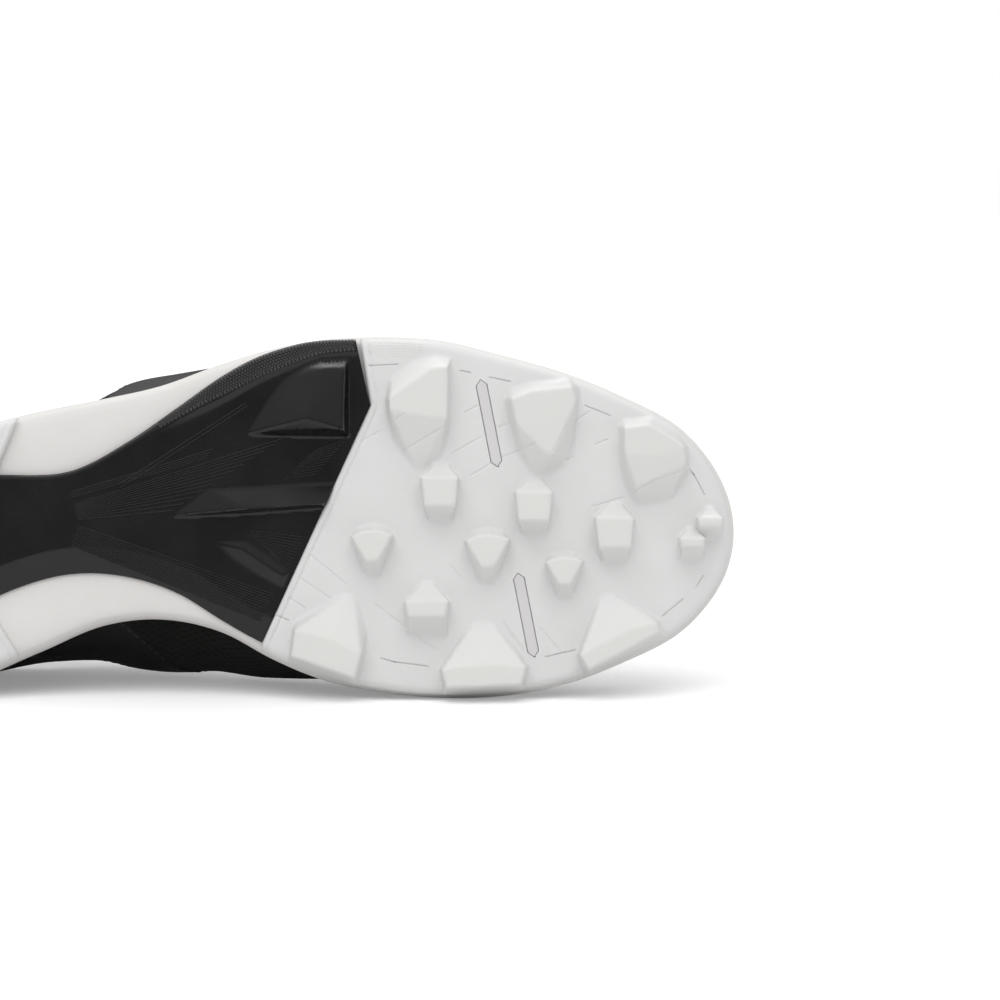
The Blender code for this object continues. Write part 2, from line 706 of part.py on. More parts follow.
def main():
    for old in list(bpy.data.objects):
        bpy.data.objects.remove(old)
    shoe = bpy.data.objects.new("shoe", None)
    bpy.context.scene.collection.objects.link(shoe)
    build_sole(shoe)
    build_insole(shoe)
    build_upper(shoe)
    build_tongue(shoe)
    build_lace(shoe)
    bpy.context.view_layer.update()
    lie_on_side(shoe, [child.name for child in shoe.children if not child.hide_render])


main()
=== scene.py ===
"""Looks of a right baseball shoe lying on its medial side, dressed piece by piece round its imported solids.

Shapes are worked out in millimetres on the shoe's own axes, as it stands: X from the heel to the toe, Y to
the medial side and Z up from the plane of the stud tips. Each mesh is then laid down with the solids.
"""

import json
import math
from collections import namedtuple

import bmesh
import bpy
import numpy as np
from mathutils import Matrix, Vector, geometry


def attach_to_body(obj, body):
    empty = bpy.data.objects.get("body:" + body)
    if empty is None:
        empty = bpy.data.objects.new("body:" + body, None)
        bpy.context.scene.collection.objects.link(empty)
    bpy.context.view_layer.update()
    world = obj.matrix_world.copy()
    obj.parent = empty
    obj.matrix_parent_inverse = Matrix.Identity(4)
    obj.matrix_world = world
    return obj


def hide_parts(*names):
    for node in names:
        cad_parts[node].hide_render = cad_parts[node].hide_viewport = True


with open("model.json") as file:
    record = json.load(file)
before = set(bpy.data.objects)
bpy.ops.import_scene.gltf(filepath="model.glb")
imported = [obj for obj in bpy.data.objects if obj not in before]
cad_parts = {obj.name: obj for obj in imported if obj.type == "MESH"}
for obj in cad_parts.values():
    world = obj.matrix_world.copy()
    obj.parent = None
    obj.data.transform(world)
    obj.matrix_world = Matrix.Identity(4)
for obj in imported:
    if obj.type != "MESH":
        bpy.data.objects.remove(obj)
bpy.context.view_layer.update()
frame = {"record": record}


# Midsole
# A full-length slab of white moulded foam between the upper and the rubber, cemented to both. Its rounded
# side shows all round the shoe, and its underside shows beside the shank at the waist.

LENGTH = 298.0
OUTSOLE = 3.0
GAP = 0.3
MEDIAL, LATERAL = 1, -1

Edge = namedtuple("Edge", "station medial lateral")
SOLE_EDGE = [
    Edge(0, 15, 15),
    Edge(6, 34, -4),
    Edge(20, 47.8, -17.4),
    Edge(42, 53.4, -23.8),
    Edge(62, 50.2, -27.2),
    Edge(86, 40.2, -33.2),
    Edge(106, 32.0, -37.2),
    Edge(122, 30.3, -40.8),
    Edge(142, 34.6, -47.8),
    Edge(157, 42.6, -52.0),
    Edge(172, 48.8, -54.6),
    Edge(190, 52.6, -55.4),
    Edge(208, 54.3, -54.3),
    Edge(226, 53.9, -50.0),
    Edge(247, 50.0, -44.1),
    Edge(264, 43.6, -37.2),
    Edge(281, 34.8, -28.2),
    Edge(290, 25.8, -18.8),
    Edge(295, 17.6, -10.2),
    Edge(298, 3.8, 3.8),
]
Level = namedtuple("Level", "station under footbed")
SOLE_LEVELS = [
    Level(0, 10.6, 36),
    Level(16, 8.7, 34.5),
    Level(34, 8.0, 33),
    Level(60, 8.0, 32.3),
    Level(72, 8.0, 32),
    Level(92, 10.4, 31.2),
    Level(116, 13.0, 29.8),
    Level(140, 12.0, 27.2),
    Level(163, 9.2, 24.4),
    Level(184, 8.0, 22.4),
    Level(196, 8.0, 21.8),
    Level(212, 8.0, 21.3),
    Level(219, 8.0, 21.2),
    Level(240, 9.5, 21.4),
    Level(262, 13.0, 23.0),
    Level(280, 17.4, 26.2),
    Level(298, 23.2, 31.2),
]
# Places on the standing shoe of the two tread mounts, which tell how the solids lie
MOUNT_PLACES = {"tread_forefoot": (204.1, 28.4, 0.0), "tread_heel": (41.0, 14.0, 0.0)}
# How far a grid of points stays from the loop that it fills, as a share of its pitch
GRID_CLEAR = 0.55


def shoe_axes():
    """Rotation and origin that lay the standing shoe, in millimetres, in the row frame, in metres."""
    mounts = {mount["name"]: mount for mount in frame["record"]["mounts"]}
    places = {name: np.array(place) / 1000 for name, place in MOUNT_PLACES.items()}

    def basis(up, ahead):
        up = np.array(up) / np.linalg.norm(up)
        ahead = ahead - up * (ahead @ up)
        ahead = ahead / np.linalg.norm(ahead)
        return np.column_stack([ahead, np.cross(up, ahead), up])

    lying = {name: np.array(mount["pos_m"]) for name, mount in mounts.items()}
    standing_basis = basis((0, 0, 1), places["tread_forefoot"] - places["tread_heel"])
    up = -np.array(mounts["tread_forefoot"]["axis"])
    turn = basis(up, lying["tread_forefoot"] - lying["tread_heel"]) @ standing_basis.T
    return turn, lying["tread_forefoot"] - turn @ places["tread_forefoot"]


SHOE_TURN, SHOE_ORIGIN = shoe_axes()


def lay_down(points):
    return np.asarray(points, float) / 1000 @ SHOE_TURN.T + SHOE_ORIGIN


def smooth(knots, values, at):
    """A cubic curve through values at the knots, read at the places in at."""
    knots, values, at = np.asarray(knots, float), np.asarray(values, float), np.asarray(at, float)
    slopes = np.gradient(values, knots, axis=0)
    k = np.clip(np.searchsorted(knots, at) - 1, 0, len(knots) - 2)
    span = knots[k + 1] - knots[k]
    t = (at - knots[k]) / span
    if values.ndim > 1:
        span, t = span[..., None], t[..., None]
    ends = values[k] * (1 + 2 * t) * (1 - t) ** 2 + values[k + 1] * t**2 * (3 - 2 * t)
    return ends + span * (slopes[k] * t * (1 - t) ** 2 + slopes[k + 1] * t**2 * (t - 1))


def station_angle(station):
    """Angle that spreads the stations, 0 at the heel and pi at the toe, so that both ends are round."""
    return np.arccos(np.clip(1 - 2 * np.asarray(station, float) / LENGTH, -1, 1))


def edge_y(side, angle):
    column = [row.medial if side == MEDIAL else row.lateral for row in SOLE_EDGE]
    return smooth(station_angle([row.station for row in SOLE_EDGE]), column, angle)


def unit(vectors):
    return vectors / np.linalg.norm(vectors, axis=-1, keepdims=True)


def edge_points(side, angle, inset):
    """Plan points of one side of the sole at these angles, moved in from its edge by inset."""
    angle = np.asarray(angle, float)
    step = 1e-3
    before, after = np.clip(angle - step, 0, math.pi), np.clip(angle + step, 0, math.pi)
    run = (np.cos(before) - np.cos(after)) * LENGTH / 2
    inward = side * np.stack([edge_y(side, after) - edge_y(side, before), -run], -1)
    inward = unit(inward)
    plan = np.stack([LENGTH / 2 * (1 - np.cos(angle)), edge_y(side, angle)], -1)
    return plan + np.expand_dims(inset, -1) * inward


def edge_run(side, start, end, count, inset):
    return edge_points(side, np.linspace(station_angle(start), station_angle(end), count), inset)


def sole_loop(inset, count):
    """The closed outline of the sole, from the heel up the medial side to the toe and back."""
    half = count // 2 + 1
    medial = edge_run(MEDIAL, 0, LENGTH, half, inset)
    return np.concatenate([medial, edge_run(LATERAL, LENGTH, 0, half, inset)[1:-1]])


def sole_level(column, x):
    knots = [row.station for row in SOLE_LEVELS]
    return smooth(knots, [getattr(row, column) for row in SOLE_LEVELS], np.clip(x, 0, LENGTH))


def under(x):
    return sole_level("under", x)


def footbed(x):
    return sole_level("footbed", x)


def plan_distance(points, line):
    """Distance in plan from each point to a line through these corners."""
    nearest = np.full(len(points), 1e9)
    for start, end in zip(line[:-1], line[1:]):
        span = end - start
        offset = points - start
        share = np.clip(offset @ span / max(span @ span, 1e-12), 0, 1)
        nearest = np.minimum(nearest, np.linalg.norm(offset - share[:, None] * span, axis=1))
    return nearest


def inside(points, loop):
    """Whether each plan point lies inside a closed loop."""
    crossings = np.zeros(len(points), int)
    for start, end in zip(loop, np.roll(loop, -1, axis=0)):
        if start[1] == end[1]:
            continue
        straddles = (start[1] > points[:, 1]) != (end[1] > points[:, 1])
        at_x = start[0] + (points[:, 1] - start[1]) / (end[1] - start[1]) * (end[0] - start[0])
        crossings += straddles & (points[:, 0] < at_x)
    return crossings % 2 == 1


def closed(loop):
    return np.concatenate([loop, loop[:1]])


def plan_grid(loop, pitch):
    """Points of a square grid inside a loop and clear of it."""
    low, high = loop.min(0), loop.max(0)
    x, y = np.meshgrid(np.arange(low[0], high[0], pitch), np.arange(low[1], high[1], pitch))
    grid = np.column_stack([x.ravel(), y.ravel()])
    grid = grid[inside(grid, loop)]
    return grid[plan_distance(grid, closed(loop)) > GRID_CLEAR * pitch]


def filled_plan(loop, points, edges=()):
    """Triangles that fill a loop through more points.

    Gives the plan corners, the triangles and the corner numbers of the loop itself."""
    corners = [Vector(p) for p in np.concatenate([loop, points])]
    found = geometry.delaunay_2d_cdt(corners, list(edges), [list(range(len(loop)))], 1, 1e-5)
    place = np.empty(len(corners), int)
    for new, sources in enumerate(found[3]):
        place[sources] = new
    return np.array(found[0]), found[2], place[: len(loop)]


def link_object(name, data):
    """A new object in the scene."""
    made = bpy.data.objects.new(name, data)
    bpy.context.scene.collection.objects.link(made)
    return made


def new_piece(name, points, faces, material, crease_deg=None, cloth=None, raised=None):
    """A piece of the shoe from points on the standing shoe, laid down, with its faces pointing out.

    Cloth gives the place of each corner of each face on the flat cloth, in millimetres, and raised the
    height of each point over the face of its plate."""
    mesh = bpy.data.meshes.new(name)
    mesh.from_pydata(lay_down(points).tolist(), [], faces)
    if raised is not None:
        mesh.attributes.new("raised", "FLOAT", "POINT").data.foreach_set("value", raised.astype(np.float32))
    if cloth is not None:
        mesh.uv_layers.new(name="cloth").data.foreach_set("uv", np.asarray(cloth, np.float32).ravel())
    work = bmesh.new()
    work.from_mesh(mesh)
    bmesh.ops.remove_doubles(work, verts=work.verts, dist=1e-7)
    bmesh.ops.recalc_face_normals(work, faces=work.faces)
    work.to_mesh(mesh)
    work.free()
    mesh.shade_smooth()
    if crease_deg:
        mesh.set_sharp_from_angle(angle=math.radians(crease_deg))
    mesh.materials.append(material)
    return link_object(name, mesh)


def attach(piece, slot, *nodes):
    """The piece rides with the shoe and stands for these solids. The slot is not used."""
    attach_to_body(piece, "root")
    if nodes:
        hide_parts(*nodes)


def stacked_faces(levels, count):
    """Quads between level loops of equal count."""
    i = np.arange(count)
    j = (i + 1) % count
    return [
        (low + a, low + b, low + count + b, low + count + a)
        for low in range(0, (levels - 1) * count, count)
        for a, b in zip(i.tolist(), j.tolist())
    ]


def stacked_piece(name, loops, floor, roof, pitch, material, crease_deg=None, flat_cloth=False):
    """A closed piece between level loops, with a floor and a roof that follow their own heights."""
    count = len(loops[0])
    points = list(np.concatenate(loops))
    faces = stacked_faces(len(loops), count)
    for loop, first, height in ((loops[0], 0, floor), (loops[-1], (len(loops) - 1) * count, roof)):
        plan, triangles, rim = filled_plan(loop[:, :2], plan_grid(loop[:, :2], pitch))
        place = np.arange(len(plan)) + len(points)
        place[rim] = first + np.arange(count)
        points += [(*p, h) for p, h in zip(plan, height(plan))]
        faces += [tuple(place[list(corner)].tolist()) for corner in triangles]
    points = np.array(points)
    cloth = points[[i for face in faces for i in face], :2] if flat_cloth else None
    return new_piece(name, points, faces, material, crease_deg, cloth)


def node_group(name, inputs, outputs):
    """An empty shader node group with named number inputs, and its input and output nodes."""
    group = bpy.data.node_groups.new(name, "ShaderNodeTree")
    for socket, value in inputs.items():
        made = group.interface.new_socket(socket, in_out="INPUT", socket_type="NodeSocketFloat")
        made.default_value = value
    for socket, kind in outputs.items():
        group.interface.new_socket(socket, in_out="OUTPUT", socket_type=kind)
    return group, group.nodes.new("NodeGroupInput"), group.nodes.new("NodeGroupOutput")


MOTTLE_SCALE = 60.0


def moulded_grain():
    """Fine pores and faint mottling of a moulded surface, on object coordinates in metres."""
    group, given, result = node_group(
        "moulded_grain",
        {"Pore Scale": 2200.0, "Mottle Scale": MOTTLE_SCALE, "Rough Low": 0.4, "Rough High": 0.55},
        {"Height": "NodeSocketFloat", "Mottle": "NodeSocketFloat", "Roughness": "NodeSocketFloat"},
    )
    nodes, links = group.nodes, group.links
    place = nodes.new("ShaderNodeTexCoord")
    pores = nodes.new("ShaderNodeTexNoise")
    pores.inputs["Detail"].default_value = 3.0
    mottle = nodes.new("ShaderNodeTexNoise")
    mottle.inputs["Detail"].default_value = 4.0
    spread = nodes.new("ShaderNodeMapRange")
    for texture, scale in ((pores, "Pore Scale"), (mottle, "Mottle Scale")):
        links.new(place.outputs["Object"], texture.inputs["Vector"])
        links.new(given.outputs[scale], texture.inputs["Scale"])
    links.new(mottle.outputs["Fac"], spread.inputs["Value"])
    spread.inputs["From Min"].default_value = 0.3
    spread.inputs["From Max"].default_value = 0.7
    links.new(given.outputs["Rough Low"], spread.inputs["To Min"])
    links.new(given.outputs["Rough High"], spread.inputs["To Max"])
    links.new(pores.outputs["Fac"], result.inputs["Height"])
    links.new(mottle.outputs["Fac"], result.inputs["Mottle"])
    links.new(spread.outputs["Result"], result.inputs["Roughness"])
    return group


MOULDED_GRAIN = moulded_grain()


def new_material(name):
    """A new material, its nodes, their links and its shader."""
    material = bpy.data.materials.new(name)
    material.use_nodes = True
    tree = material.node_tree
    return material, tree.nodes, tree.links, tree.nodes["Principled BSDF"]


def colour_mix(nodes, **colours):
    """A node that mixes two colours, A and B."""
    mix = nodes.new("ShaderNodeMix")
    mix.data_type = "RGBA"
    for socket, colour in colours.items():
        mix.inputs[socket].default_value = (*colour, 1)
    return mix


def moulded_material(name, dark, light, rough, pore_scale, bump_mm):
    """A moulded rubber or foam: two close colours mixed by the mottling, and a bump from the pores."""
    material, nodes, links, shader = new_material(name)
    grain = nodes.new("ShaderNodeGroup")
    grain.node_tree = MOULDED_GRAIN
    values = {
        "Pore Scale": pore_scale,
        "Mottle Scale": MOTTLE_SCALE,
        "Rough Low": rough[0],
        "Rough High": rough[1],
    }
    for socket, value in values.items():
        grain.inputs[socket].default_value = value
    tint = colour_mix(nodes, A=dark, B=light)
    bump = nodes.new("ShaderNodeBump")
    bump.inputs["Distance"].default_value = bump_mm / 1000
    links.new(grain.outputs["Mottle"], tint.inputs["Factor"])
    links.new(tint.outputs["Result"], shader.inputs["Base Color"])
    links.new(grain.outputs["Roughness"], shader.inputs["Roughness"])
    links.new(grain.outputs["Height"], bump.inputs["Height"])
    links.new(bump.outputs["Normal"], shader.inputs["Normal"])
    return material


white_foam = moulded_material("white_foam", (0.76, 0.74, 0.72), (0.82, 0.80, 0.785), (0.5, 0.66), 3200, 0.05)

# The side: shares of the foam's thickness, and how far the foam lies inside the sole's edge there
Side = namedtuple("Side", "share inset")
FOAM_SIDE = [
    Side(0.0, 4.4),
    Side(0.02, 2.8),
    Side(0.09, 1.3),
    Side(0.22, 0.35),
    Side(0.5, 0.0),
    Side(0.8, 1.4),
    Side(0.94, 2.9),
    Side(1.0, 4.4),
]
FOAM_LEVELS, FOAM_AROUND = 40, 420
# A shallow groove runs round the side
GROOVE_SHARE, GROOVE_WIDTH, GROOVE_DEPTH = 0.64, 0.035, 0.55


def midsole_floor(x):
    return under(x) + OUTSOLE + GAP


def midsole_loops():
    loops = []
    for share in np.linspace(0, 1, FOAM_LEVELS):
        inset = float(smooth([row.share for row in FOAM_SIDE], [row.inset for row in FOAM_SIDE], share))
        inset += GROOVE_DEPTH * math.exp(-(((share - GROOVE_SHARE) / GROOVE_WIDTH) ** 2))
        plan = sole_loop(inset, FOAM_AROUND)
        low, high = midsole_floor(plan[:, 0]), footbed(plan[:, 0])
        loops.append(np.column_stack([plan, low + share * (high - low)]))
    return loops


midsole = stacked_piece(
    "midsole_foam",
    midsole_loops(),
    lambda plan: midsole_floor(plan[:, 0]),
    lambda plan: footbed(plan[:, 0]),
    pitch=6.0,
    material=white_foam,
)
attach(midsole, "white_foam", "midsole")


# Forefoot outsole
# A plate of white rubber moulded in one with its edge lugs and studs and cemented under the ball and the
# toes. Fine lines are engraved between the lugs, and the plate's border rolls up to its edge.

Corner = namedtuple("Corner", "x y")
FOREFOOT_JOINT = [Corner(183.2, -54), Corner(187, -34.2), Corner(154.4, 36.9), Corner(152.0, 42)]
PLATE_INSET = 1.0
PLATE_RIM = 0.9
PLATE_PITCH, BACK_PITCH = 0.5, 9.0
MEDIAL_POINTS, LATERAL_POINTS = 330, 300
# Distances from an edge are measured to a line through every third of its points
EDGE_SKIP = 3
# Lines of points along arrises and cuts: how close their points are, and how far the grid stays from them
GUIDE_PITCH, GUIDE_CLEAR = 0.8, 0.3
# The face rolls up towards the edge in two steps
Roll = namedtuple("Roll", "height width power")
BORDER_ROLLS = [Roll(1.5, 2.6, 2.4), Roll(0.55, 8.6, 1.6)]

# A lug or stud is the hull from the corners of its foot to its peaks, which have heights over the plate
Form = namedtuple("Form", "foot peaks")
LUG_HEIGHT = 8.0


def level(height, corners):
    return [(x, y, height) for x, y in corners]


LATERAL_BACK_LUG = Form(
    [
        (191.2, -35.5), (193.2, -43.2), (199, -47.6), (206, -49.6), (211.4, -48.6),
        (211.3, -28), (208.2, -17), (201.5, -12.4), (194.4, -22), (191.8, -31.5),
    ],
    level(
        LUG_HEIGHT,
        [
            (192.8, -36), (201, -41.4), (206.3, -45), (210.6, -45.4),
            (210.4, -30), (203.7, -30.4), (192.8, -32.6),
        ],
    ),
)
LATERAL_MIDDLE_LUG = Form(
    [
        (227.4, -36.2), (229.6, -39.4), (236, -41.4), (247.5, -42.4), (250, -40.2), (250.3, -35),
        (249.2, -25), (247.9, -17), (240, -11.8), (236, -11.8), (231.2, -20), (228.6, -30),
    ],
    level(LUG_HEIGHT, [(229.6, -35.6), (236, -38), (247.8, -39.4), (249.2, -35.6)])
    + [(246, -28, 7.7), (242, -19, 6.9), (240, -19.6, 6.9), (231, -28.5, 7.7)],
)
LATERAL_FRONT_LUG = Form(
    [
        (262, -28), (263.6, -30.2), (272.6, -31), (280, -26.6), (283.8, -21.8),
        (284, -14.5), (277.4, -4), (268, -2.5), (264.4, -8), (262.4, -18),
    ],
    level(
        LUG_HEIGHT,
        [(263.8, -27.2), (271.6, -28.2), (277, -25), (282.2, -21.6), (271.6, -18.7), (264, -19.2)],
    )
    + [(282.9, -16.4, 7.0), (274.6, -12.6, 6.2), (267.4, -9.4, 5.2)],
)
MEDIAL_FRONT_LUG = Form(
    [(249.4, 41.6), (253, 31.6), (257.6, 21.2), (267.4, 25.6), (274.8, 30.8), (277, 36.4), (252.2, 48.2)],
    level(LUG_HEIGHT, [(250.2, 41.6), (257.3, 37.8), (265.2, 34), (273.4, 31.8), (274.6, 34.8), (252.8, 46)]),
)
MEDIAL_MIDDLE_LUG = Form(
    [
        (207.7, 45.6), (212.8, 38), (219.8, 29.4), (222, 29.4), (229.6, 37.2),
        (234.8, 44.8), (233.2, 52.4), (209.2, 53.6),
    ],
    level(
        LUG_HEIGHT,
        [(208.6, 45.8), (215.5, 44.8), (226.5, 44.4), (233.9, 45.2), (232.6, 50.4), (210.0, 51.4)],
    ),
)
MEDIAL_BACK_LUG = Form(
    [(163.2, 33), (164.6, 30.6), (182.2, 20.8), (186, 33.4), (185.3, 42.2), (183.2, 51), (162, 43.6)],
    level(LUG_HEIGHT, [(164.4, 33.8), (175.5, 36.4), (184.4, 41.4), (182.4, 48.4), (163.2, 41.8)]),
)
FOREFOOT_LUGS = [
    LATERAL_BACK_LUG,
    LATERAL_MIDDLE_LUG,
    LATERAL_FRONT_LUG,
    MEDIAL_FRONT_LUG,
    MEDIAL_MIDDLE_LUG,
    MEDIAL_BACK_LUG,
]
# Studs have three shapes. Their corners are given first along X, then towards the lateral side.
SQUARE_STUD = Form(
    [(-1.2, 9), (1.6, 9), (5.8, 3.6), (4.9, -5.6), (3.4, -9.4), (-3.4, -9.4), (-5.1, -5.6), (-6.2, 3.8)],
    level(LUG_HEIGHT, [(-5.8, 3.8), (5.4, 3.6), (4.6, -5), (-4.8, -5)]),
)
ROUND_STUD = Form(
    [
        (-6.6, 2.6), (-4.0, 5.7), (0, 6.6), (4.0, 5.8), (6.6, 3),
        (3.2, -3.8), (2.3, -9.6), (-2.3, -9.6), (-3.2, -3.8),
    ],
    level(LUG_HEIGHT, [(-6.2, 2.6), (-3.4, 4), (0, 4.5), (3.4, 4.1), (6.2, 3), (1.9, -4.8), (-1.9, -4.8)]),
)
WEDGE_STUD = Form(
    [(-0.9, 10), (1.1, 10), (6.9, 3), (5.9, -8.4), (-6.0, -8.4), (-7.0, 3)],
    level(LUG_HEIGHT, [(-6.6, 3.2), (6.5, 3.2), (5.6, -1.4), (-5.7, -1.4)]),
)
Stud = namedtuple("Stud", "shape x y size")
FOREFOOT_STUDS = [
    Stud(SQUARE_STUD, 208.2, -8.2, 1.0),
    Stud(SQUARE_STUD, 236.6, -3.9, 1.0),
    Stud(ROUND_STUD, 187.6, 8.4, 1.0),
    Stud(ROUND_STUD, 222.4, 10.0, 1.06),
    Stud(ROUND_STUD, 245.6, 16.0, 0.9),
    Stud(SQUARE_STUD, 261.0, 4.0, 1.04),
    Stud(WEDGE_STUD, 204.1, 28.4, 1.0),
    Stud(WEDGE_STUD, 290.2, 1.8, 0.6),
    Stud(WEDGE_STUD, 284.6, 8.0, 0.6),
]
# A form starts this far under the plate, and its rounded arrises and foot reach this far round it
LUG_ROOT, LUG_REACH = 1.2, 3.0
# Widths of the rounding at arrises and at the foot for a slope of one, and the slopes between which they grow
LUG_ARRIS, LUG_FILLET = 0.6, 0.7
LUG_GENTLE, LUG_STEEP = 0.5, 3.0
# A face of a form counts as upright when its normal rises less than this
UPRIGHT = 0.002
# Shares of a form's height at which points lie along its outline
CONTOURS = (0.0, 0.1, 0.3, 0.55, 0.78, 0.92, 0.98)

# Strips let into the plate, here for their slots
Strip = namedtuple("Strip", "node x y turn length width")
FLEX_STRIPS = [
    Strip("flex_strip_lateral", 222.9, -28.7, 79, 27, 3.4),
    Strip("flex_strip_medial", 234.0, 29.4, 79, 26, 3.4),
]
STRIP_DEPTH = 1.2
SLOT_INSET, SLOT_GUIDES = 0.02, (0.05, -0.1)

# Engraved lines from corner to corner. The deep ones lie on a line round the plate, inside its border.
Line = namedtuple("Line", "x1 y1 x2 y2")
DEEP_LINES = [
    Line(186.5, -46.2, 195.2, -46.6),
    Line(214.4, -44.6, 217.2, -44.1),
    Line(223.2, -42.6, 229.3, -41.4),
    Line(252.0, -34.2, 259.6, -31.3),
    Line(282.6, -16.4, 285.2, -13.8),
    Line(285.2, -13.8, 288.6, -7.6),
    Line(286.0, 20.8, 288.2, 17.4),
    Line(275.8, 29.6, 281.8, 24.6),
    Line(240.0, 42.0, 248.6, 40.0),
    Line(190.3, 42.4, 194.4, 43.5),
    Line(194.4, 43.5, 204.3, 44.8),
    Line(158.9, 29.5, 162.0, 30.8),
]
FINE_LINES = [
    Line(193.6, -29.0, 197.4, -31.3),
    Line(184.2, -23.3, 189.9, -26.4),
    Line(197.0, -20.3, 209.6, -27.5),
    Line(211.8, -19.6, 220.4, -24.4),
    Line(225.8, -27.4, 229.6, -28.9),
    Line(217.4, -12.8, 223.1, -16.2),
    Line(227.2, -18.5, 236.7, -22.3),
    Line(215.6, -32.0, 219.4, -33.9),
    Line(239.8, -14.3, 248.4, -18.5),
    Line(242.1, -20.0, 246.2, -27.5),
    Line(246.2, -27.5, 253.4, -32.4),
    Line(255.0, -22.3, 258.7, -23.9),
    Line(267.0, -7.9, 272.3, -10.9),
    Line(272.3, -10.9, 282.8, -14.7),
    Line(254.2, -3.4, 264.0, -6.4),
    Line(168.7, 11.0, 179.3, 19.7),
    Line(165.7, 18.2, 174.8, 24.2),
    Line(161.9, 23.8, 167.2, 27.2),
    Line(188.0, 25.7, 206.5, 39.7),
    Line(211.4, 14.4, 214.8, 18.5),
    Line(238.3, 33.3, 244.3, 40.1),
    Line(227.0, 31.4, 233.0, 39.7),
]
Cut = namedtuple("Cut", "lines depth width")
DEEP_CUT = Cut(DEEP_LINES, 0.55, 0.62)
FINE_CUT = Cut(FINE_LINES, 0.24, 0.5)
LINE_STEP = 0.9
# The lip along a joint: its height, how far it lies from the joint, and its width. The plate's corner is
# cut off in front of it, and a fine line is cut behind it.
LIP_HEIGHT, LIP_AWAY, LIP_WIDTH = 0.42, 0.95, 0.55
CORNER_CUT, CORNER_WIDTH = 0.5, 0.5
JOINT_LINE, JOINT_CUT, JOINT_WIDTH = 2.2, 0.34, 0.32
# Points lie along the lip and the fine line. The joint leans, so a way square to it is longer along X.
JOINT_GUIDES = (0.9, JOINT_LINE - 0.34, JOINT_LINE, JOINT_LINE + 0.34)
JOINT_LEAN = 1.08
# Height over the plate from which the rubber is tinted
TINT_FROM = 2.0


def stud_form(stud):
    """The form of a stud in its place."""
    foot, peaks = (
        [(stud.x + stud.size * x, stud.y - stud.size * y, *height) for x, y, *height in corners]
        for corners in stud.shape
    )
    return Form(foot, peaks)


def facets(form):
    """Slopes and starts of a form's faces: relief = slope . (plan - first foot corner) + start."""
    at_x, at_y = form.foot[0]
    work = bmesh.new()
    for x, y, height in level(-LUG_ROOT, form.foot) + form.peaks:
        work.verts.new((x - at_x, y - at_y, height))
    bmesh.ops.convex_hull(work, input=work.verts)
    slopes, starts = [], []
    for face in work.faces:
        if face.normal.z > UPRIGHT:
            slope = -face.normal.xy / face.normal.z
            corner = face.verts[0].co
            slopes.append(slope)
            starts.append(corner.z - slope @ corner.xy)
    work.free()
    return np.array(slopes), np.array(starts)


def soft_min(a, b, width):
    blend = np.maximum(width - np.abs(a - b), 0) / width
    return np.minimum(a, b) - blend**2 * width / 4


def soft_max(a, b, width):
    return -soft_min(-a, -b, width)


def add_forms(relief, plan, forms, fillet=LUG_FILLET):
    """Raises forms from a relief, with rounded arrises and a fillet at the foot of each."""
    for form in forms:
        foot = np.array(form.foot)
        near = np.all((plan > foot.min(0) - LUG_REACH) & (plan < foot.max(0) + LUG_REACH), axis=1)
        slopes, starts = facets(form)
        heights = (plan[near] - foot[0]) @ slopes.T + starts
        lowest, raised = heights.argmin(1), heights.min(1)
        for face in range(len(starts)):
            turn = np.clip(np.linalg.norm(slopes[lowest] - slopes[face], axis=1), 1e-3, LUG_STEEP)
            raised = np.minimum(raised, soft_min(heights.min(1), heights[:, face], LUG_ARRIS * turn))
        steep = np.clip(np.linalg.norm(slopes[lowest], axis=1), LUG_GENTLE, LUG_STEEP)
        relief[near] = soft_max(relief[near], raised, fillet * steep)
    return relief


def contour(form, share, plate):
    """The outline of a form at a share of its height over its plate, cut out of a box round its foot."""
    foot = np.array(form.foot)
    height = plate + share * (max(peak[2] for peak in form.peaks) - plate)
    low, high = foot.min(0), foot.max(0)
    loop = np.array([low, (high[0], low[1]), high, (low[0], high[1])])
    for slope, start in zip(*facets(form)):
        over = (loop - foot[0]) @ slope + start - height
        cut = []
        for i in range(len(loop)):
            if (over[i - 1] > 0) != (over[i] > 0):
                cut.append(loop[i - 1] + (loop[i] - loop[i - 1]) * over[i - 1] / (over[i - 1] - over[i]))
            if over[i] > 0:
                cut.append(loop[i])
        loop = np.array(cut)
    return loop


def contour_guides(forms, plate=0.0):
    """Points along the outlines of forms, from the foot to the top."""
    outlines = [contour(form, share, plate) for form in forms for share in CONTOURS]
    return [fine_run(closed(outline), GUIDE_PITCH)[:-1] for outline in outlines]


def strip_corners(strip, clearance):
    """Plan corners of a slim strip with pointed ends, smaller all round by clearance."""
    turn = math.radians(strip.turn)
    ahead = np.array([math.cos(turn), math.sin(turn)])
    aside = np.array([-ahead[1], ahead[0]])
    half, wide = strip.length / 2 - clearance, strip.width / 2 - clearance
    quarter = [(half, 0), (half - wide, wide), (-half + wide, wide)]
    local = quarter + [(-a, -b) for a, b in quarter]
    return np.array([np.array([strip.x, strip.y]) + a * ahead + b * aside for a, b in local])


def line_ends(line):
    return np.array([[line.x1, line.y1], [line.x2, line.y2]])


def cut_guides(cut):
    """Points along engraved lines and along both lips of each."""
    guides = []
    for line in cut.lines:
        start, end = line_ends(line)
        span = end - start
        aside = np.array([-span[1], span[0]]) / np.linalg.norm(span) * cut.width / 2
        steps = max(3, int(np.linalg.norm(span) / LINE_STEP))
        middle = start + np.linspace(0, 1, steps + 1)[:, None] * span
        guides += [middle, middle + aside, middle - aside]
    return guides


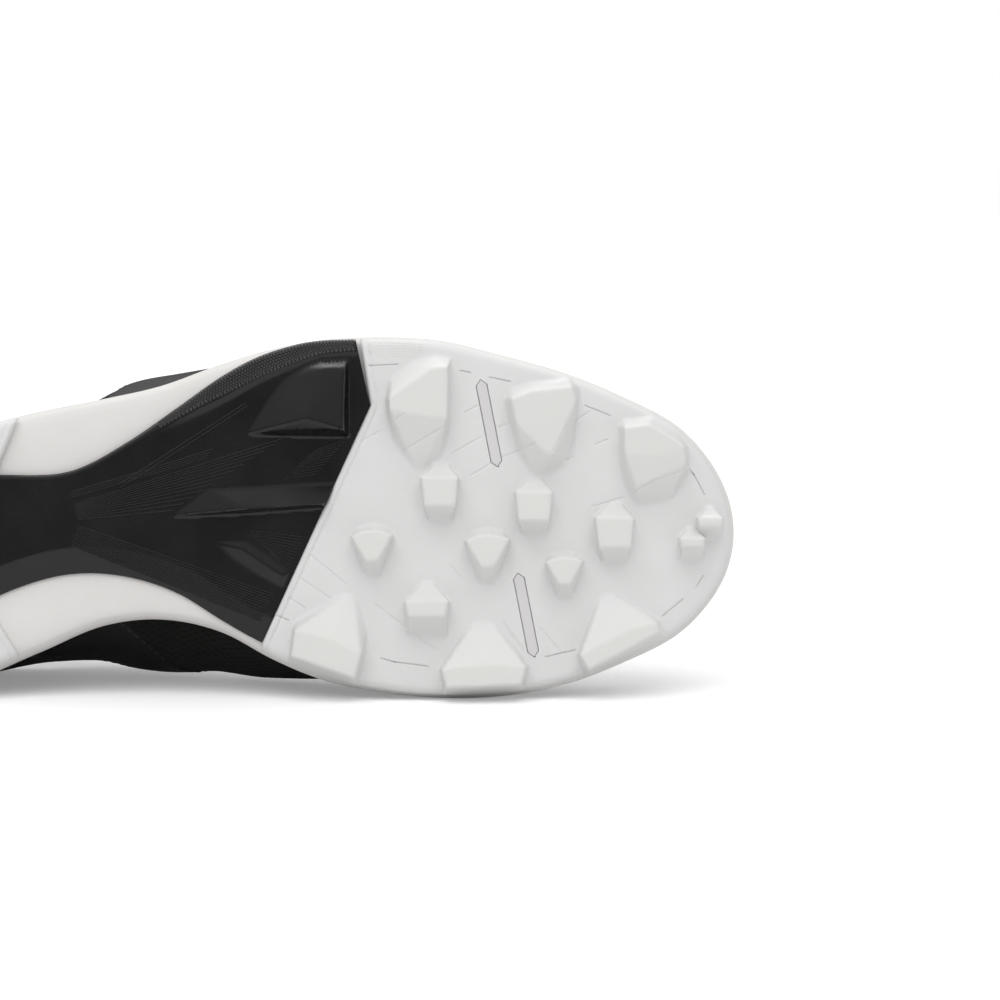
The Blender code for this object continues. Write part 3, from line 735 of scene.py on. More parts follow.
def rolled(away, rolls):
    """How far a plate's face has rolled up at this distance from its edge."""
    return sum(roll.height * np.clip(1 - away / roll.width, 0, 1) ** roll.power for roll in rolls)


def clear_of(points, line, away):
    """The points that lie further than away from a line."""
    near = np.all((points > line.min(0) - away) & (points < line.max(0) + away), axis=1)
    near[near] = plan_distance(points[near], line) <= away
    return points[~near]


def tread_piece(name, outline, relief, guides, pitch, material):
    """A rubber plate with a fine tread, raised towards the ground by relief, a low wall and a plain back."""
    grid = plan_grid(outline, pitch)
    extra, edges, count = [], [], len(outline)
    for run in guides:
        kept = np.flatnonzero(inside(run, outline))
        grid = clear_of(grid, run, GUIDE_CLEAR)
        edges += [(count + i, count + i + 1) for i in np.flatnonzero(np.diff(kept) == 1).tolist()]
        extra.append(run[kept])
        count += len(kept)
    plan, triangles, rim = filled_plan(outline, np.concatenate(extra + [grid]), edges)
    raised = relief(plan)
    tread = np.column_stack([plan, under(plan[:, 0]) - raised])
    faces = [tuple(corner) for corner in triangles]

    back_plan, back_triangles, back_rim = filled_plan(outline, plan_grid(outline, BACK_PITCH))
    back = np.column_stack([back_plan, under(back_plan[:, 0]) + OUTSOLE])
    back[back_rim, 2] = np.maximum(back[back_rim, 2], tread[rim, 2] + PLATE_RIM)
    faces += [tuple(i + len(tread) for i in corner) for corner in back_triangles]
    low, high = rim.tolist(), (back_rim + len(tread)).tolist()
    faces += [(low[i - 1], low[i], high[i], high[i - 1]) for i in range(len(outline))]
    points, raised = np.concatenate([tread, back]), np.concatenate([raised, np.zeros(len(back))])
    return new_piece(name, points, faces, material, crease_deg=55, raised=raised)


def fine_run(corners, longest):
    """Plan points along straight runs between corners, none further apart than longest."""
    points = [corners[0]]
    for start, end in zip(corners, corners[1:]):
        pieces = max(1, math.ceil(np.linalg.norm(end - start) / longest))
        points += [start + (end - start) * i / pieces for i in range(1, pieces + 1)]
    return np.array(points)


def joint_line(corners, shift):
    return np.array(corners, float) + [shift, 0]


def forefoot_outline():
    joint = joint_line(FOREFOOT_JOINT, GAP / 2)
    medial = edge_run(MEDIAL, joint[-1][0] + PLATE_INSET, LENGTH, MEDIAL_POINTS, PLATE_INSET)
    lateral = edge_run(LATERAL, LENGTH, joint[0][0] + PLATE_INSET / 2, LATERAL_POINTS, PLATE_INSET)
    seam = fine_run(np.concatenate([lateral[-1:], joint[1:-1], medial[:1]]), PLATE_PITCH)
    return np.concatenate([medial, lateral[1:], seam[1:-1]]), medial, lateral, seam


def joint_lip(away):
    """How far a plate's lip stands up at this distance from its joint, with a fine line cut behind it."""
    lip = LIP_HEIGHT * np.exp(-(((away - LIP_AWAY) / LIP_WIDTH) ** 2))
    lip -= CORNER_CUT * np.clip(1 - away / CORNER_WIDTH, 0, 1) ** 2
    return lip - JOINT_CUT * np.clip(1 - np.abs(away - JOINT_LINE) / JOINT_WIDTH, 0, 1)


def white_relief(plan, sides, seam, forms, cuts):
    """Height of a white plate's tread over the plate's level, towards the ground."""
    edge = np.minimum(*[plan_distance(plan, side[::EDGE_SKIP]) for side in sides])
    relief = -rolled(edge, BORDER_ROLLS)
    relief += joint_lip(plan_distance(plan, seam[::EDGE_SKIP]))
    relief = add_forms(relief, plan, forms)
    for cut in cuts:
        for line in cut.lines:
            away = plan_distance(plan, line_ends(line))
            relief -= cut.depth * np.clip(1 - away / (cut.width / 2), 0, 1)
    return relief


def forefoot_relief(plan):
    sides = (forefoot_medial, forefoot_lateral)
    relief = white_relief(plan, sides, forefoot_seam, forefoot_forms, (DEEP_CUT, FINE_CUT))
    for strip in FLEX_STRIPS:
        relief -= STRIP_DEPTH * inside(plan, strip_corners(strip, SLOT_INSET))
    return relief


def forefoot_guides():
    guides = contour_guides(forefoot_forms)
    for away in JOINT_GUIDES:
        guides.append(fine_run(joint_line(FOREFOOT_JOINT, GAP / 2 + JOINT_LEAN * away), GUIDE_PITCH))
    guides += cut_guides(DEEP_CUT) + cut_guides(FINE_CUT)
    for strip in FLEX_STRIPS:
        slots = [closed(strip_corners(strip, inset)) for inset in SLOT_GUIDES]
        guides += [fine_run(slot, GUIDE_PITCH)[:-1] for slot in slots]
    return guides


def tip_tint(material, tint):
    """Tints a plate's rubber where its lugs and studs stand high, as where it has yellowed a little."""
    nodes, links = material.node_tree.nodes, material.node_tree.links
    height = nodes.new("ShaderNodeAttribute")
    height.attribute_name = "raised"
    share = nodes.new("ShaderNodeMapRange")
    share.inputs["From Min"].default_value = TINT_FROM
    share.inputs["From Max"].default_value = LUG_HEIGHT
    worn = colour_mix(nodes, B=tint)
    base = nodes["Principled BSDF"].inputs["Base Color"]
    links.new(height.outputs["Fac"], share.inputs["Value"])
    links.new(share.outputs["Result"], worn.inputs["Factor"])
    links.new(base.links[0].from_socket, worn.inputs["A"])
    links.new(worn.outputs["Result"], base)


white_rubber = moulded_material(
    "white_rubber", (0.74, 0.74, 0.735), (0.79, 0.79, 0.787), (0.4, 0.52), 2600, 0.04
)
tip_tint(white_rubber, (0.765, 0.762, 0.742))
forefoot_forms = FOREFOOT_LUGS + [stud_form(stud) for stud in FOREFOOT_STUDS]
forefoot_edge, forefoot_medial, forefoot_lateral, forefoot_seam = forefoot_outline()
forefoot = tread_piece(
    "forefoot_rubber", forefoot_edge, forefoot_relief, forefoot_guides(), PLATE_PITCH, white_rubber
)
attach(forefoot, "white_rubber", "outsole_forefoot")


# Flex strips
# Two slim strips of softer off-white foam with pointed ends, let into slots across the plate's flex line
# and cemented there. A hair-wide gap shows round each.

STRIP_CHAMFER, STRIP_GAP = 0.22, 0.12
Shoulder = namedtuple("Shoulder", "inset height")
STRIP_SIDE = [
    Shoulder(STRIP_GAP + STRIP_CHAMFER, 0.0),
    Shoulder(STRIP_GAP, STRIP_CHAMFER),
    Shoulder(STRIP_GAP, STRIP_DEPTH - GAP),
]

strip_foam = moulded_material(
    "strip_foam", (0.675, 0.66, 0.66), (0.725, 0.712, 0.71), (0.55, 0.7), 3600, 0.05
)
for strip in FLEX_STRIPS:
    strip_loops = []
    for row in STRIP_SIDE:
        ring = strip_corners(strip, row.inset)
        strip_loops.append(np.column_stack([ring, under(ring[:, 0]) + row.height]))
    strip_piece = stacked_piece(
        strip.node + "_foam",
        strip_loops,
        lambda plan: under(plan[:, 0]),
        lambda plan: under(plan[:, 0]) + STRIP_DEPTH - GAP,
        pitch=5.0,
        material=strip_foam,
        crease_deg=30,
    )
    attach(strip_piece, "white_foam", strip.node)


# Shank plate
# A stiffer black rubber plate under the waist, moulded with a faceted lug, a long wedge and ribbed and
# knurled grips, and cemented between the two white plates. It lies a little lower than they do.

HEEL_JOINT = [Corner(80, -32), Corner(63, 12), Corner(81, 44)]
SHANK_BACK_MEDIAL, SHANK_BACK_LATERAL = 71.6, 73.6
SHANK_EDGE = [
    Edge(60, 31, -14),
    Edge(76, 22.5, -13.4),
    Edge(97, 16.6, -15.0),
    Edge(113, 17.6, -23.6),
    Edge(128, 22.5, -34.0),
    Edge(142, 31.0, -43.8),
    Edge(150, 35.6, -48.2),
    Edge(164, 42.0, -52.9),
    Edge(190, 50.0, -54.6),
]
# How far behind the corners of the front joint the two sides end
SHANK_SHORT_MEDIAL, SHANK_SHORT_LATERAL = 0.4, 0.6
SHANK_PITCH, SHANK_SKIP = 0.5, 4
SHANK_MEDIAL_POINTS, SHANK_LATERAL_POINTS = 190, 230
SHANK_SUNK = 0.6
SHANK_ROLL = Roll(0.6, 1.2, 2)
SHANK_LUG = Form(
    [
        (148, -25.4), (155.1, -36.4), (159, -41.4), (165.4, -46.2),
        (171, -48.6), (180.6, -49), (180.6, -24.6), (171, -25.6),
    ],
    [
        (167.6, -29.6, 7.0), (168.6, -29.3, 7.0), (178.9, -26.4, 6.2),
        (179.2, -45.2, 2.9), (173.3, -45.2, 2.9),
    ],
)
SHANK_WEDGE = Form(
    [(176.6, -11.5), (135.4, -9.5), (124.0, -0.6), (150, -1.7), (174.8, -3.4)],
    [(150, -2.6, 4.2), (174.8, -4.3, 3.9)],
)
SHANK_FACET = Form(
    [(133, 5.6), (150.4, 5.2), (164.4, 14.2), (160.4, 24), (142, 14)],
    level(0.1, [(147.6, 8.8), (160.6, 17.4)]),
)
SHANK_FORMS = [SHANK_LUG, SHANK_WEDGE, SHANK_FACET]
SHANK_FILLET = 0.4
WEDGE_CREST = [(124.0, -0.6), (150, -2.6), (174.8, -4.3)]
# The lateral border is rolled over outside a low ridge, and a flat strip along the medial edge falls away
Band = namedtuple("Band", "station width")
KNURL_BAND = [
    Band(100, 1.0),
    Band(114, 1.2),
    Band(124, 2.2),
    Band(134, 3.8),
    Band(142, 5.4),
    Band(152, 5.9),
    Band(163, 5.2),
    Band(171, 4.2),
    Band(184, 3.2),
]
# How far the border rolls over, as a share of its width, and the ridge's height, width and the width of the
# border from which it is whole
LATERAL_ROLL, LATERAL_POWER = 0.36, 1.2
KNURL_RAISED, KNURL_RIDGE, KNURL_WHOLE = 0.5, 1.4, 4.0
MEDIAL_FACET, MEDIAL_FALL = 8.0, 1.2


def shank_side(column, start, end, count):
    stations = np.linspace(start, end, count)
    knots = [row.station for row in SHANK_EDGE]
    return np.column_stack([stations, smooth(knots, [getattr(row, column) for row in SHANK_EDGE], stations)])


def shank_outline():
    front = joint_line(FOREFOOT_JOINT, -GAP / 2)
    back = joint_line(HEEL_JOINT, GAP / 2)
    medial = shank_side("medial", SHANK_BACK_MEDIAL, front[2][0] - SHANK_SHORT_MEDIAL, SHANK_MEDIAL_POINTS)
    lateral_front = front[0][0] - SHANK_SHORT_LATERAL
    lateral = shank_side("lateral", lateral_front, SHANK_BACK_LATERAL, SHANK_LATERAL_POINTS)
    seam = fine_run(np.concatenate([medial[-1:], front[2:0:-1], lateral[:1]]), SHANK_PITCH)
    notch = fine_run(np.concatenate([lateral[-1:], back[1:2], medial[:1]]), SHANK_PITCH)
    return np.concatenate([medial, seam[1:-1], lateral, notch[1:-1]]), medial, lateral


def knurl_width(x):
    return smooth([row.station for row in KNURL_BAND], [row.width for row in KNURL_BAND], x)


def shank_relief(plan):
    """Height of the shank's tread over the plate's level, towards the ground."""
    lateral = plan_distance(plan, shank_lateral[::SHANK_SKIP])
    medial = plan_distance(plan, shank_medial[::SHANK_SKIP])
    relief = -SHANK_SUNK - rolled(np.minimum(lateral, medial), [SHANK_ROLL])
    band = knurl_width(np.clip(plan[:, 0], KNURL_BAND[0].station, KNURL_BAND[-1].station))
    relief -= LATERAL_ROLL * band * np.clip(1 - lateral / band, 0, 1) ** LATERAL_POWER
    relief -= MEDIAL_FALL * np.clip(1 - medial / MEDIAL_FACET, 0, 1)
    ridge = np.clip(band / KNURL_WHOLE, 0, 1) ** 2
    relief += KNURL_RAISED * ridge * np.exp(-(((lateral - band) / KNURL_RIDGE) ** 2))
    return add_forms(relief, plan, SHANK_FORMS, SHANK_FILLET)


black_rubber = moulded_material(
    "black_rubber", (0.006, 0.006, 0.0062), (0.010, 0.010, 0.0103), (0.2, 0.3), 2400, 0.012
)
shank_edge, shank_medial, shank_lateral = shank_outline()
shank_guides = contour_guides(SHANK_FORMS, -SHANK_SUNK)
shank_guides.append(fine_run(np.array(WEDGE_CREST), SHANK_PITCH))
shank = tread_piece("shank_rubber", shank_edge, shank_relief, shank_guides, SHANK_PITCH, black_rubber)
attach(shank, "black_rubber", "outsole_shank")


# Grips
# Fine ribs that fan out from the waist, short ribs beside the chevron joint and a knurled lateral border
# with larger knobs along its ridge, moulded in one with the shank plate, and a patch of small dots on the
# white border beside it. The knurl is coloured a lighter grey than the shank as a painted highlight, for
# the glints on its knobs.

# A fan of ribs runs from points along its narrow end to points along its wide end
Fan = namedtuple("Fan", "count from_first from_last to_first to_last")
RIB_FANS = [
    Fan(2, (110, -10.4), (110.6, -9.6), (149.0, -35.2), (149.6, -34.4)),
    Fan(4, (96, -8.2), (96, -6.6), (139, -21.2), (137, -18.6)),
    Fan(12, (97, -4.6), (98, 0.0), (161, -24.6), (127, -2.8)),
    Fan(12, (98, 2.0), (96, 8.0), (157.4, 22.8), (153.6, 31.0)),
    Fan(12, (169.4, -20.4), (160.6, -12.0), (180.0, -24.4), (170.4, -13.4)),
    Fan(12, (150.0, 3.4), (157.6, 11.4), (167.2, 5.6), (162.0, 16.0)),
]
# Sunk is the share of a rib's radius or of a knob's height that lies in the plate
RIB_RADIUS, RIB_STEP, RIB_SIDES, RIB_SUNK = 0.3, 1.6, 6, 0.25
KNOB_SIDES, KNOB_TOP, KNOB_SUNK = 4, 0.3, 0.16
KNOB_PITCH, KNOB_RADIUS, KNOB_HEIGHT = 1.0, 0.44, 0.32
RIDGE_PITCH, RIDGE_RADIUS, RIDGE_HEIGHT = 1.3, 0.6, 0.7
DOT_ROWS, DOT_ROW_PITCH, DOT_PITCH, DOT_INSET = 6, 0.8, 1.0, 2.2
DOT_RADIUS, DOT_HEIGHT = 0.36, 0.16
DOTS_FROM, DOTS_TO, DOTS_ALONG = 186.5, 203.0, 17
KNURL_ROWS, KNURL_FROM, KNURL_TO, KNURL_INSET, KNURL_STEPS = 6, 122.0, 182.0, 0.5, 400


def geometry_tree(name, inputs):
    """An empty Geometry Nodes tree with a mesh and named number inputs, and its input and output nodes."""
    tree = bpy.data.node_groups.new(name, "GeometryNodeTree")
    tree.interface.new_socket("Geometry", in_out="INPUT", socket_type="NodeSocketGeometry")
    for socket, value in inputs.items():
        made = tree.interface.new_socket(socket, in_out="INPUT", socket_type="NodeSocketFloat")
        made.default_value = value
    tree.interface.new_socket("Material", in_out="INPUT", socket_type="NodeSocketMaterial")
    tree.interface.new_socket("Geometry", in_out="OUTPUT", socket_type="NodeSocketGeometry")
    return tree, tree.nodes.new("NodeGroupInput"), tree.nodes.new("NodeGroupOutput")


def close_tree(tree, given, result, made):
    """Realizes what the tree made and gives it its material."""
    real = tree.nodes.new("GeometryNodeRealizeInstances")
    dressed = tree.nodes.new("GeometryNodeSetMaterial")
    tree.links.new(made, real.inputs["Geometry"])
    tree.links.new(real.outputs["Geometry"], dressed.inputs["Geometry"])
    tree.links.new(given.outputs["Material"], dressed.inputs["Material"])
    tree.links.new(dressed.outputs["Geometry"], result.inputs["Geometry"])
    return tree


def rib_tree():
    """Sweeps a small round section along every line of a mesh."""
    tree, given, result = geometry_tree("moulded_ribs", {"Rib Radius": 0.0003})
    nodes, links = tree.nodes, tree.links
    path = nodes.new("GeometryNodeMeshToCurve")
    section = nodes.new("GeometryNodeCurvePrimitiveCircle")
    section.inputs["Resolution"].default_value = RIB_SIDES
    sweep = nodes.new("GeometryNodeCurveToMesh")
    sweep.inputs["Fill Caps"].default_value = True
    links.new(given.outputs["Geometry"], path.inputs["Mesh"])
    links.new(given.outputs["Rib Radius"], section.inputs["Radius"])
    links.new(path.outputs["Curve"], sweep.inputs["Curve"])
    links.new(section.outputs["Curve"], sweep.inputs["Profile Curve"])
    return close_tree(tree, given, result, sweep.outputs["Mesh"])


def stand_on_points(tree, given, shape):
    """A shape on every point of the tree's mesh, with its Z along the point's way attribute."""
    nodes, links = tree.nodes, tree.links
    way = nodes.new("GeometryNodeInputNamedAttribute")
    way.data_type = "FLOAT_VECTOR"
    way.inputs["Name"].default_value = "way"
    turn = nodes.new("FunctionNodeAlignRotationToVector")
    turn.axis = "Z"
    place = nodes.new("GeometryNodeInstanceOnPoints")
    links.new(way.outputs["Attribute"], turn.inputs["Vector"])
    links.new(given.outputs["Geometry"], place.inputs["Points"])
    links.new(shape, place.inputs["Instance"])
    links.new(turn.outputs["Rotation"], place.inputs["Rotation"])
    return place.outputs["Instances"]


def knob_tree():
    """Stands a small four-sided knob on every point of a mesh, along the point's way attribute."""
    tree, given, result = geometry_tree("moulded_knobs", {"Knob Radius": 0.0005, "Knob Height": 0.0005})
    nodes, links = tree.nodes, tree.links
    knob = nodes.new("GeometryNodeMeshCone")
    knob.inputs["Vertices"].default_value = KNOB_SIDES
    top = nodes.new("ShaderNodeMath")
    top.operation = "MULTIPLY"
    top.inputs[1].default_value = KNOB_TOP
    links.new(given.outputs["Knob Radius"], knob.inputs["Radius Bottom"])
    links.new(given.outputs["Knob Radius"], top.inputs[0])
    links.new(top.outputs["Value"], knob.inputs["Radius Top"])
    links.new(given.outputs["Knob Height"], knob.inputs["Depth"])
    return close_tree(tree, given, result, stand_on_points(tree, given, knob.outputs["Mesh"]))


def run_mesh(name, runs):
    """A mesh of runs of points, laid down, with an edge between neighbours of each run."""
    mesh = bpy.data.meshes.new(name)
    edges, first = [], 0
    for run in runs:
        edges += [(first + i, first + i + 1) for i in range(len(run) - 1)]
        first += len(run)
    mesh.from_pydata(lay_down(np.concatenate(runs)).tolist(), edges, [])
    return mesh


def point_mesh(name, spots, **attributes):
    """A mesh of loose points, laid down, with vector attributes turned in the same way."""
    mesh = bpy.data.meshes.new(name)
    mesh.from_pydata(lay_down(spots).tolist(), [], [])
    for label, vectors in attributes.items():
        data = mesh.attributes.new(label, "FLOAT_VECTOR", "POINT").data
        data.foreach_set("vector", (np.asarray(vectors) @ SHOE_TURN.T).astype(np.float32).ravel())
    return mesh


def grown_piece(name, guide, tree, values, material):
    """The plain mesh that a Geometry Nodes tree grows on a guide."""
    seed = link_object(name + "_guide", guide)
    modifier = seed.modifiers.new(name, "NODES")
    modifier.node_group = tree
    for item in tree.interface.items_tree:
        if item.in_out == "INPUT" and item.name in values:
            modifier[item.identifier] = values[item.name]
        elif item.in_out == "INPUT" and item.name == "Material":
            modifier[item.identifier] = material
    graph = bpy.context.evaluated_depsgraph_get()
    mesh = bpy.data.meshes.new_from_object(seed.evaluated_get(graph))
    bpy.data.objects.remove(seed)
    mesh.name = name
    return link_object(name, mesh)


def on_plate(plan, relief, sunk):
    return np.column_stack([plan, under(plan[:, 0]) - relief(plan) + sunk])


def plate_normal(plan, relief):
    """The way out of a plate's tread at these points."""
    step = 0.3
    slope = [
        (on_plate(plan + way, relief, 0) - on_plate(plan - way, relief, 0))[:, 2] / (2 * step)
        for way in ([step, 0], [0, step])
    ]
    out = np.column_stack([*slope, -np.ones(len(plan))])
    return unit(out)


def rib_runs():
    runs = []
    for fan in RIB_FANS:
        for share in np.linspace(0, 1, fan.count):
            start = np.array(fan.from_first) * (1 - share) + np.array(fan.from_last) * share
            end = np.array(fan.to_first) * (1 - share) + np.array(fan.to_last) * share
            plan = fine_run(np.array([start, end]), RIB_STEP)
            runs.append(on_plate(plan[inside(plan, shank_edge)], shank_relief, RIB_RADIUS * RIB_SUNK))
    return runs


def knurl_points(insets, pitch):
    """Points in staggered rows inside the lateral edge of the shank, at insets as shares of the band."""
    edge = shank_side("lateral", KNURL_FROM, KNURL_TO, KNURL_STEPS)
    along = np.gradient(edge, axis=0)
    inward = np.column_stack([-along[:, 1], along[:, 0]])
    inward = unit(inward)
    walked = np.concatenate([[0], np.cumsum(np.linalg.norm(np.diff(edge, axis=0), axis=1))])
    rows = []
    for row, inset in enumerate(insets):
        at = np.arange(pitch * (row % 2) / 2, walked[-1], pitch)
        line = edge + (KNURL_INSET + inset * (knurl_width(edge[:, 0]) - KNURL_INSET))[:, None] * inward
        rows.append(np.column_stack([np.interp(at, walked, line[:, axis]) for axis in (0, 1)]))
    plan = np.concatenate(rows)
    return plan[inside(plan, shank_edge)]


def dot_points():
    """Points in staggered rows on the white border beside the joint."""
    rows = []
    for row in range(DOT_ROWS):
        inset = DOT_INSET + row * DOT_ROW_PITCH
        rows.append(edge_run(LATERAL, DOTS_FROM + row % 2 * DOT_PITCH / 2, DOTS_TO, DOTS_ALONG, inset))
    return np.concatenate(rows)


KNOBS = knob_tree()


def knobs(name, plan, relief, radius, height, material):
    """Knobs on a plate's tread at these points."""
    spots = on_plate(plan, relief, height * KNOB_SUNK)
    return grown_piece(
        name,
        point_mesh(name + "_points", spots, way=plate_normal(plan, relief)),
        KNOBS,
        {"Knob Radius": radius / 1000, "Knob Height": height / 1000},
        material,
    )


ribs = grown_piece(
    "shank_ribs",
    run_mesh("rib_lines", rib_runs()),
    rib_tree(),
    {"Rib Radius": RIB_RADIUS / 1000},
    black_rubber,
)
attach(ribs, "black_rubber")

# Painted highlight: the knurl's rubber is a much lighter grey than the shank's, standing in for glints on its
# knobs
knurl_painted_highlight = moulded_material(
    "knurl_painted_highlight", (0.052, 0.052, 0.053), (0.084, 0.084, 0.085), (0.36, 0.5), 2400, 0.02
)
knurl_rows = np.arange(KNURL_ROWS) / KNURL_ROWS
for name, insets, pitch, radius, height in (
    ("shank_knurl", knurl_rows, KNOB_PITCH, KNOB_RADIUS, KNOB_HEIGHT),
    ("shank_knurl_ridge", [1.0], RIDGE_PITCH, RIDGE_RADIUS, RIDGE_HEIGHT),
):
    knurl = knobs(name, knurl_points(insets, pitch), shank_relief, radius, height, knurl_painted_highlight)
    attach(knurl, "black_rubber")
dots = knobs("forefoot_dots", dot_points(), forefoot_relief, DOT_RADIUS, DOT_HEIGHT, white_rubber)
attach(dots, "white_rubber")


# Heel outsole
# A second plate of white rubber with five edge lugs and one stud, cemented under the heel. It is moulded in
# the same way as the forefoot plate.

# Heading is the way a lug points in from its outer side, in degrees from +X. All five are of one shape,
# given first across the heading, then along it.
Lug = namedtuple("Lug", "x y heading")
HEEL_LUGS = [
    Lug(57, 48.6, 262),
    Lug(57, -24.6, 82),
    Lug(25, 46.0, 298),
    Lug(25, -15.6, 58),
    Lug(3.4, 15.0, 0),
]
HEEL_LUG = Form(
    [(-10, 0), (-9.5, 8), (-2.5, 17), (2.5, 17), (9.5, 8), (10, 0)],
    level(LUG_HEIGHT, [(-7.5, 2.8), (-7.5, 7.6), (7.5, 7.6), (7.5, 2.8)]),
)
HEEL_STUDS = [Stud(SQUARE_STUD, 41, 14, 1.1)]
HEEL_LINES = [
    Line(20, 30, 28, 26),
    Line(20, 0, 28, 4),
    Line(52, 30, 62, 24),
    Line(52, -4, 61, 1),
    Line(26, 22, 32, 19),
    Line(26, 7, 32, 10),
]
HEEL_CUT = FINE_CUT._replace(lines=HEEL_LINES)
HEEL_POINTS = 220


def lug_form(lug):
    """The form of a heel lug in its place."""
    heading = math.radians(lug.heading)
    ahead, aside = (math.cos(heading), math.sin(heading)), (-math.sin(heading), math.cos(heading))

    def placed(across, along, *height):
        x = lug.x + across * aside[0] + along * ahead[0]
        y = lug.y + across * aside[1] + along * ahead[1]
        return (x, y, *height)

    return Form(*[[placed(*corner) for corner in corners] for corners in HEEL_LUG])


def heel_outline():
    joint = joint_line(HEEL_JOINT, -GAP / 2)
    medial = edge_run(MEDIAL, 0, joint[-1][0], HEEL_POINTS, PLATE_INSET)
    lateral = edge_run(LATERAL, joint[0][0], 0, HEEL_POINTS, PLATE_INSET)
    seam = fine_run(np.concatenate([medial[-1:], joint[1:2], lateral[:1]]), PLATE_PITCH)
    return np.concatenate([medial, seam[1:-1], lateral[:-1]]), medial, lateral, seam


def heel_relief(plan):
    return white_relief(plan, (heel_medial, heel_lateral), heel_seam, heel_forms, [HEEL_CUT])


heel_edge, heel_medial, heel_lateral, heel_seam = heel_outline()
heel_forms = [lug_form(lug) for lug in HEEL_LUGS] + [stud_form(stud) for stud in HEEL_STUDS]
heel_guides = contour_guides(heel_forms) + cut_guides(HEEL_CUT)
heel_plate = tread_piece("heel_rubber", heel_edge, heel_relief, heel_guides, PLATE_PITCH, white_rubber)
attach(heel_plate, "white_rubber", "outsole_heel")


# Upper
# A lasted shell of black mesh textile, open at the collar and the throat, with its lower edge cemented to the
# foam. A few soft creases lie across the vamp, where the foot bends.

WALL = 2.0
FEATHER_INSET = 5.2
PLAN_PULL = 25.0
# One row for each profile from the lower edge to the top line, going round the foot. Lean is the angle of
# the wall to the vertical at that end, and reach is how firmly the curve follows it.
Profile = namedtuple("Profile", "side station top_x top_y top_z foot_lean foot_reach top_lean top_reach")
UPPER_PROFILES = [
    Profile(MEDIAL, 0, 9, 15, 97, 22, 24, 14, 20),
    Profile(MEDIAL, 20, 24, 37, 93, 16, 22, 8, 18),
    Profile(MEDIAL, 46, 48, 43, 87, 14, 22, 6, 16),
    Profile(MEDIAL, 80, 78, 39, 85, 28, 24, 14, 18),
    Profile(MEDIAL, 113, 112, 24.5, 97, 53, 43, 38, 32),
    Profile(MEDIAL, 145, 140, 17.5, 84, 45.4, 45.4, 60, 30),
    Profile(MEDIAL, 190, 168, 10.5, 73, 14, 27, 72, 28),
    Profile(MEDIAL, 235, 188, 6.5, 66.5, 8, 23, 76, 40),
    Profile(MEDIAL, 270, 196, 3.5, 64.3, 6, 21, 79, 47),
    Profile(MEDIAL, 298, 199, -1, 63.5, 8, 23, 79, 53),
    Profile(LATERAL, 270, 196, -5.5, 64.3, 6, 21, 79, 47),
    Profile(LATERAL, 235, 188, -9, 66.2, 8, 23, 76, 40),
    Profile(LATERAL, 190, 168, -12.5, 72.5, 12, 27, 72, 28),
    Profile(LATERAL, 145, 140, -14, 83.5, 28, 34, 58, 30),
    Profile(LATERAL, 113, 112, -15.5, 96, 36, 42, 38, 32),
    Profile(LATERAL, 80, 78, -18, 82, 18, 22, 10, 18),
    Profile(LATERAL, 46, 48, -14, 84.5, 14, 22, 5, 16),
    Profile(LATERAL, 20, 24, -7.5, 92, 16, 22, 8, 18),
]
TEXTILE = 1.2
UPPER_AROUND, UPPER_UP = 340, 54
# Soft troughs and ridges across the vamp, as a line in plan. A ridge has a depth below zero.
Crease = namedtuple("Crease", "x1 y1 x2 y2 depth width")
CREASES = [
    Crease(206, 46, 214, -2, 0.9, 3.2),
    Crease(214, -2, 206, -46, 0.9, 3.2),
    Crease(211, 44, 219, -3, -0.5, 2.6),
    Crease(219, -3, 211, -44, -0.5, 2.6),
    Crease(219, 40, 226, 0, 0.7, 3.0),
    Crease(226, 0, 221, -34, 0.6, 3.0),
    Crease(196, 44, 199, 30, 0.6, 2.8),
    Crease(195, -47, 198, -32, 0.6, 2.8),
]
# Creases fade out below this height, over this much of it
CREASE_FROM, CREASE_FADE = 30.0, 14.0


def ring_place(side, station):
    """Place on the ring round the shoe: 0 at the heel, up the medial side to 0.5 at the toe, and back."""
    share = station_angle(station) / (2 * math.pi)
    return share if side == MEDIAL else 1 - share


def smooth_ring(knots, values, at):
    """A cubic curve through values on a ring, whose places run from 0 to 1 and start again."""
    knots, values = np.asarray(knots, float), np.asarray(values, float)
    lap = np.concatenate([knots - 1, knots, knots + 1])
    return smooth(lap, np.concatenate([values, values, values]), np.mod(at, 1.0))


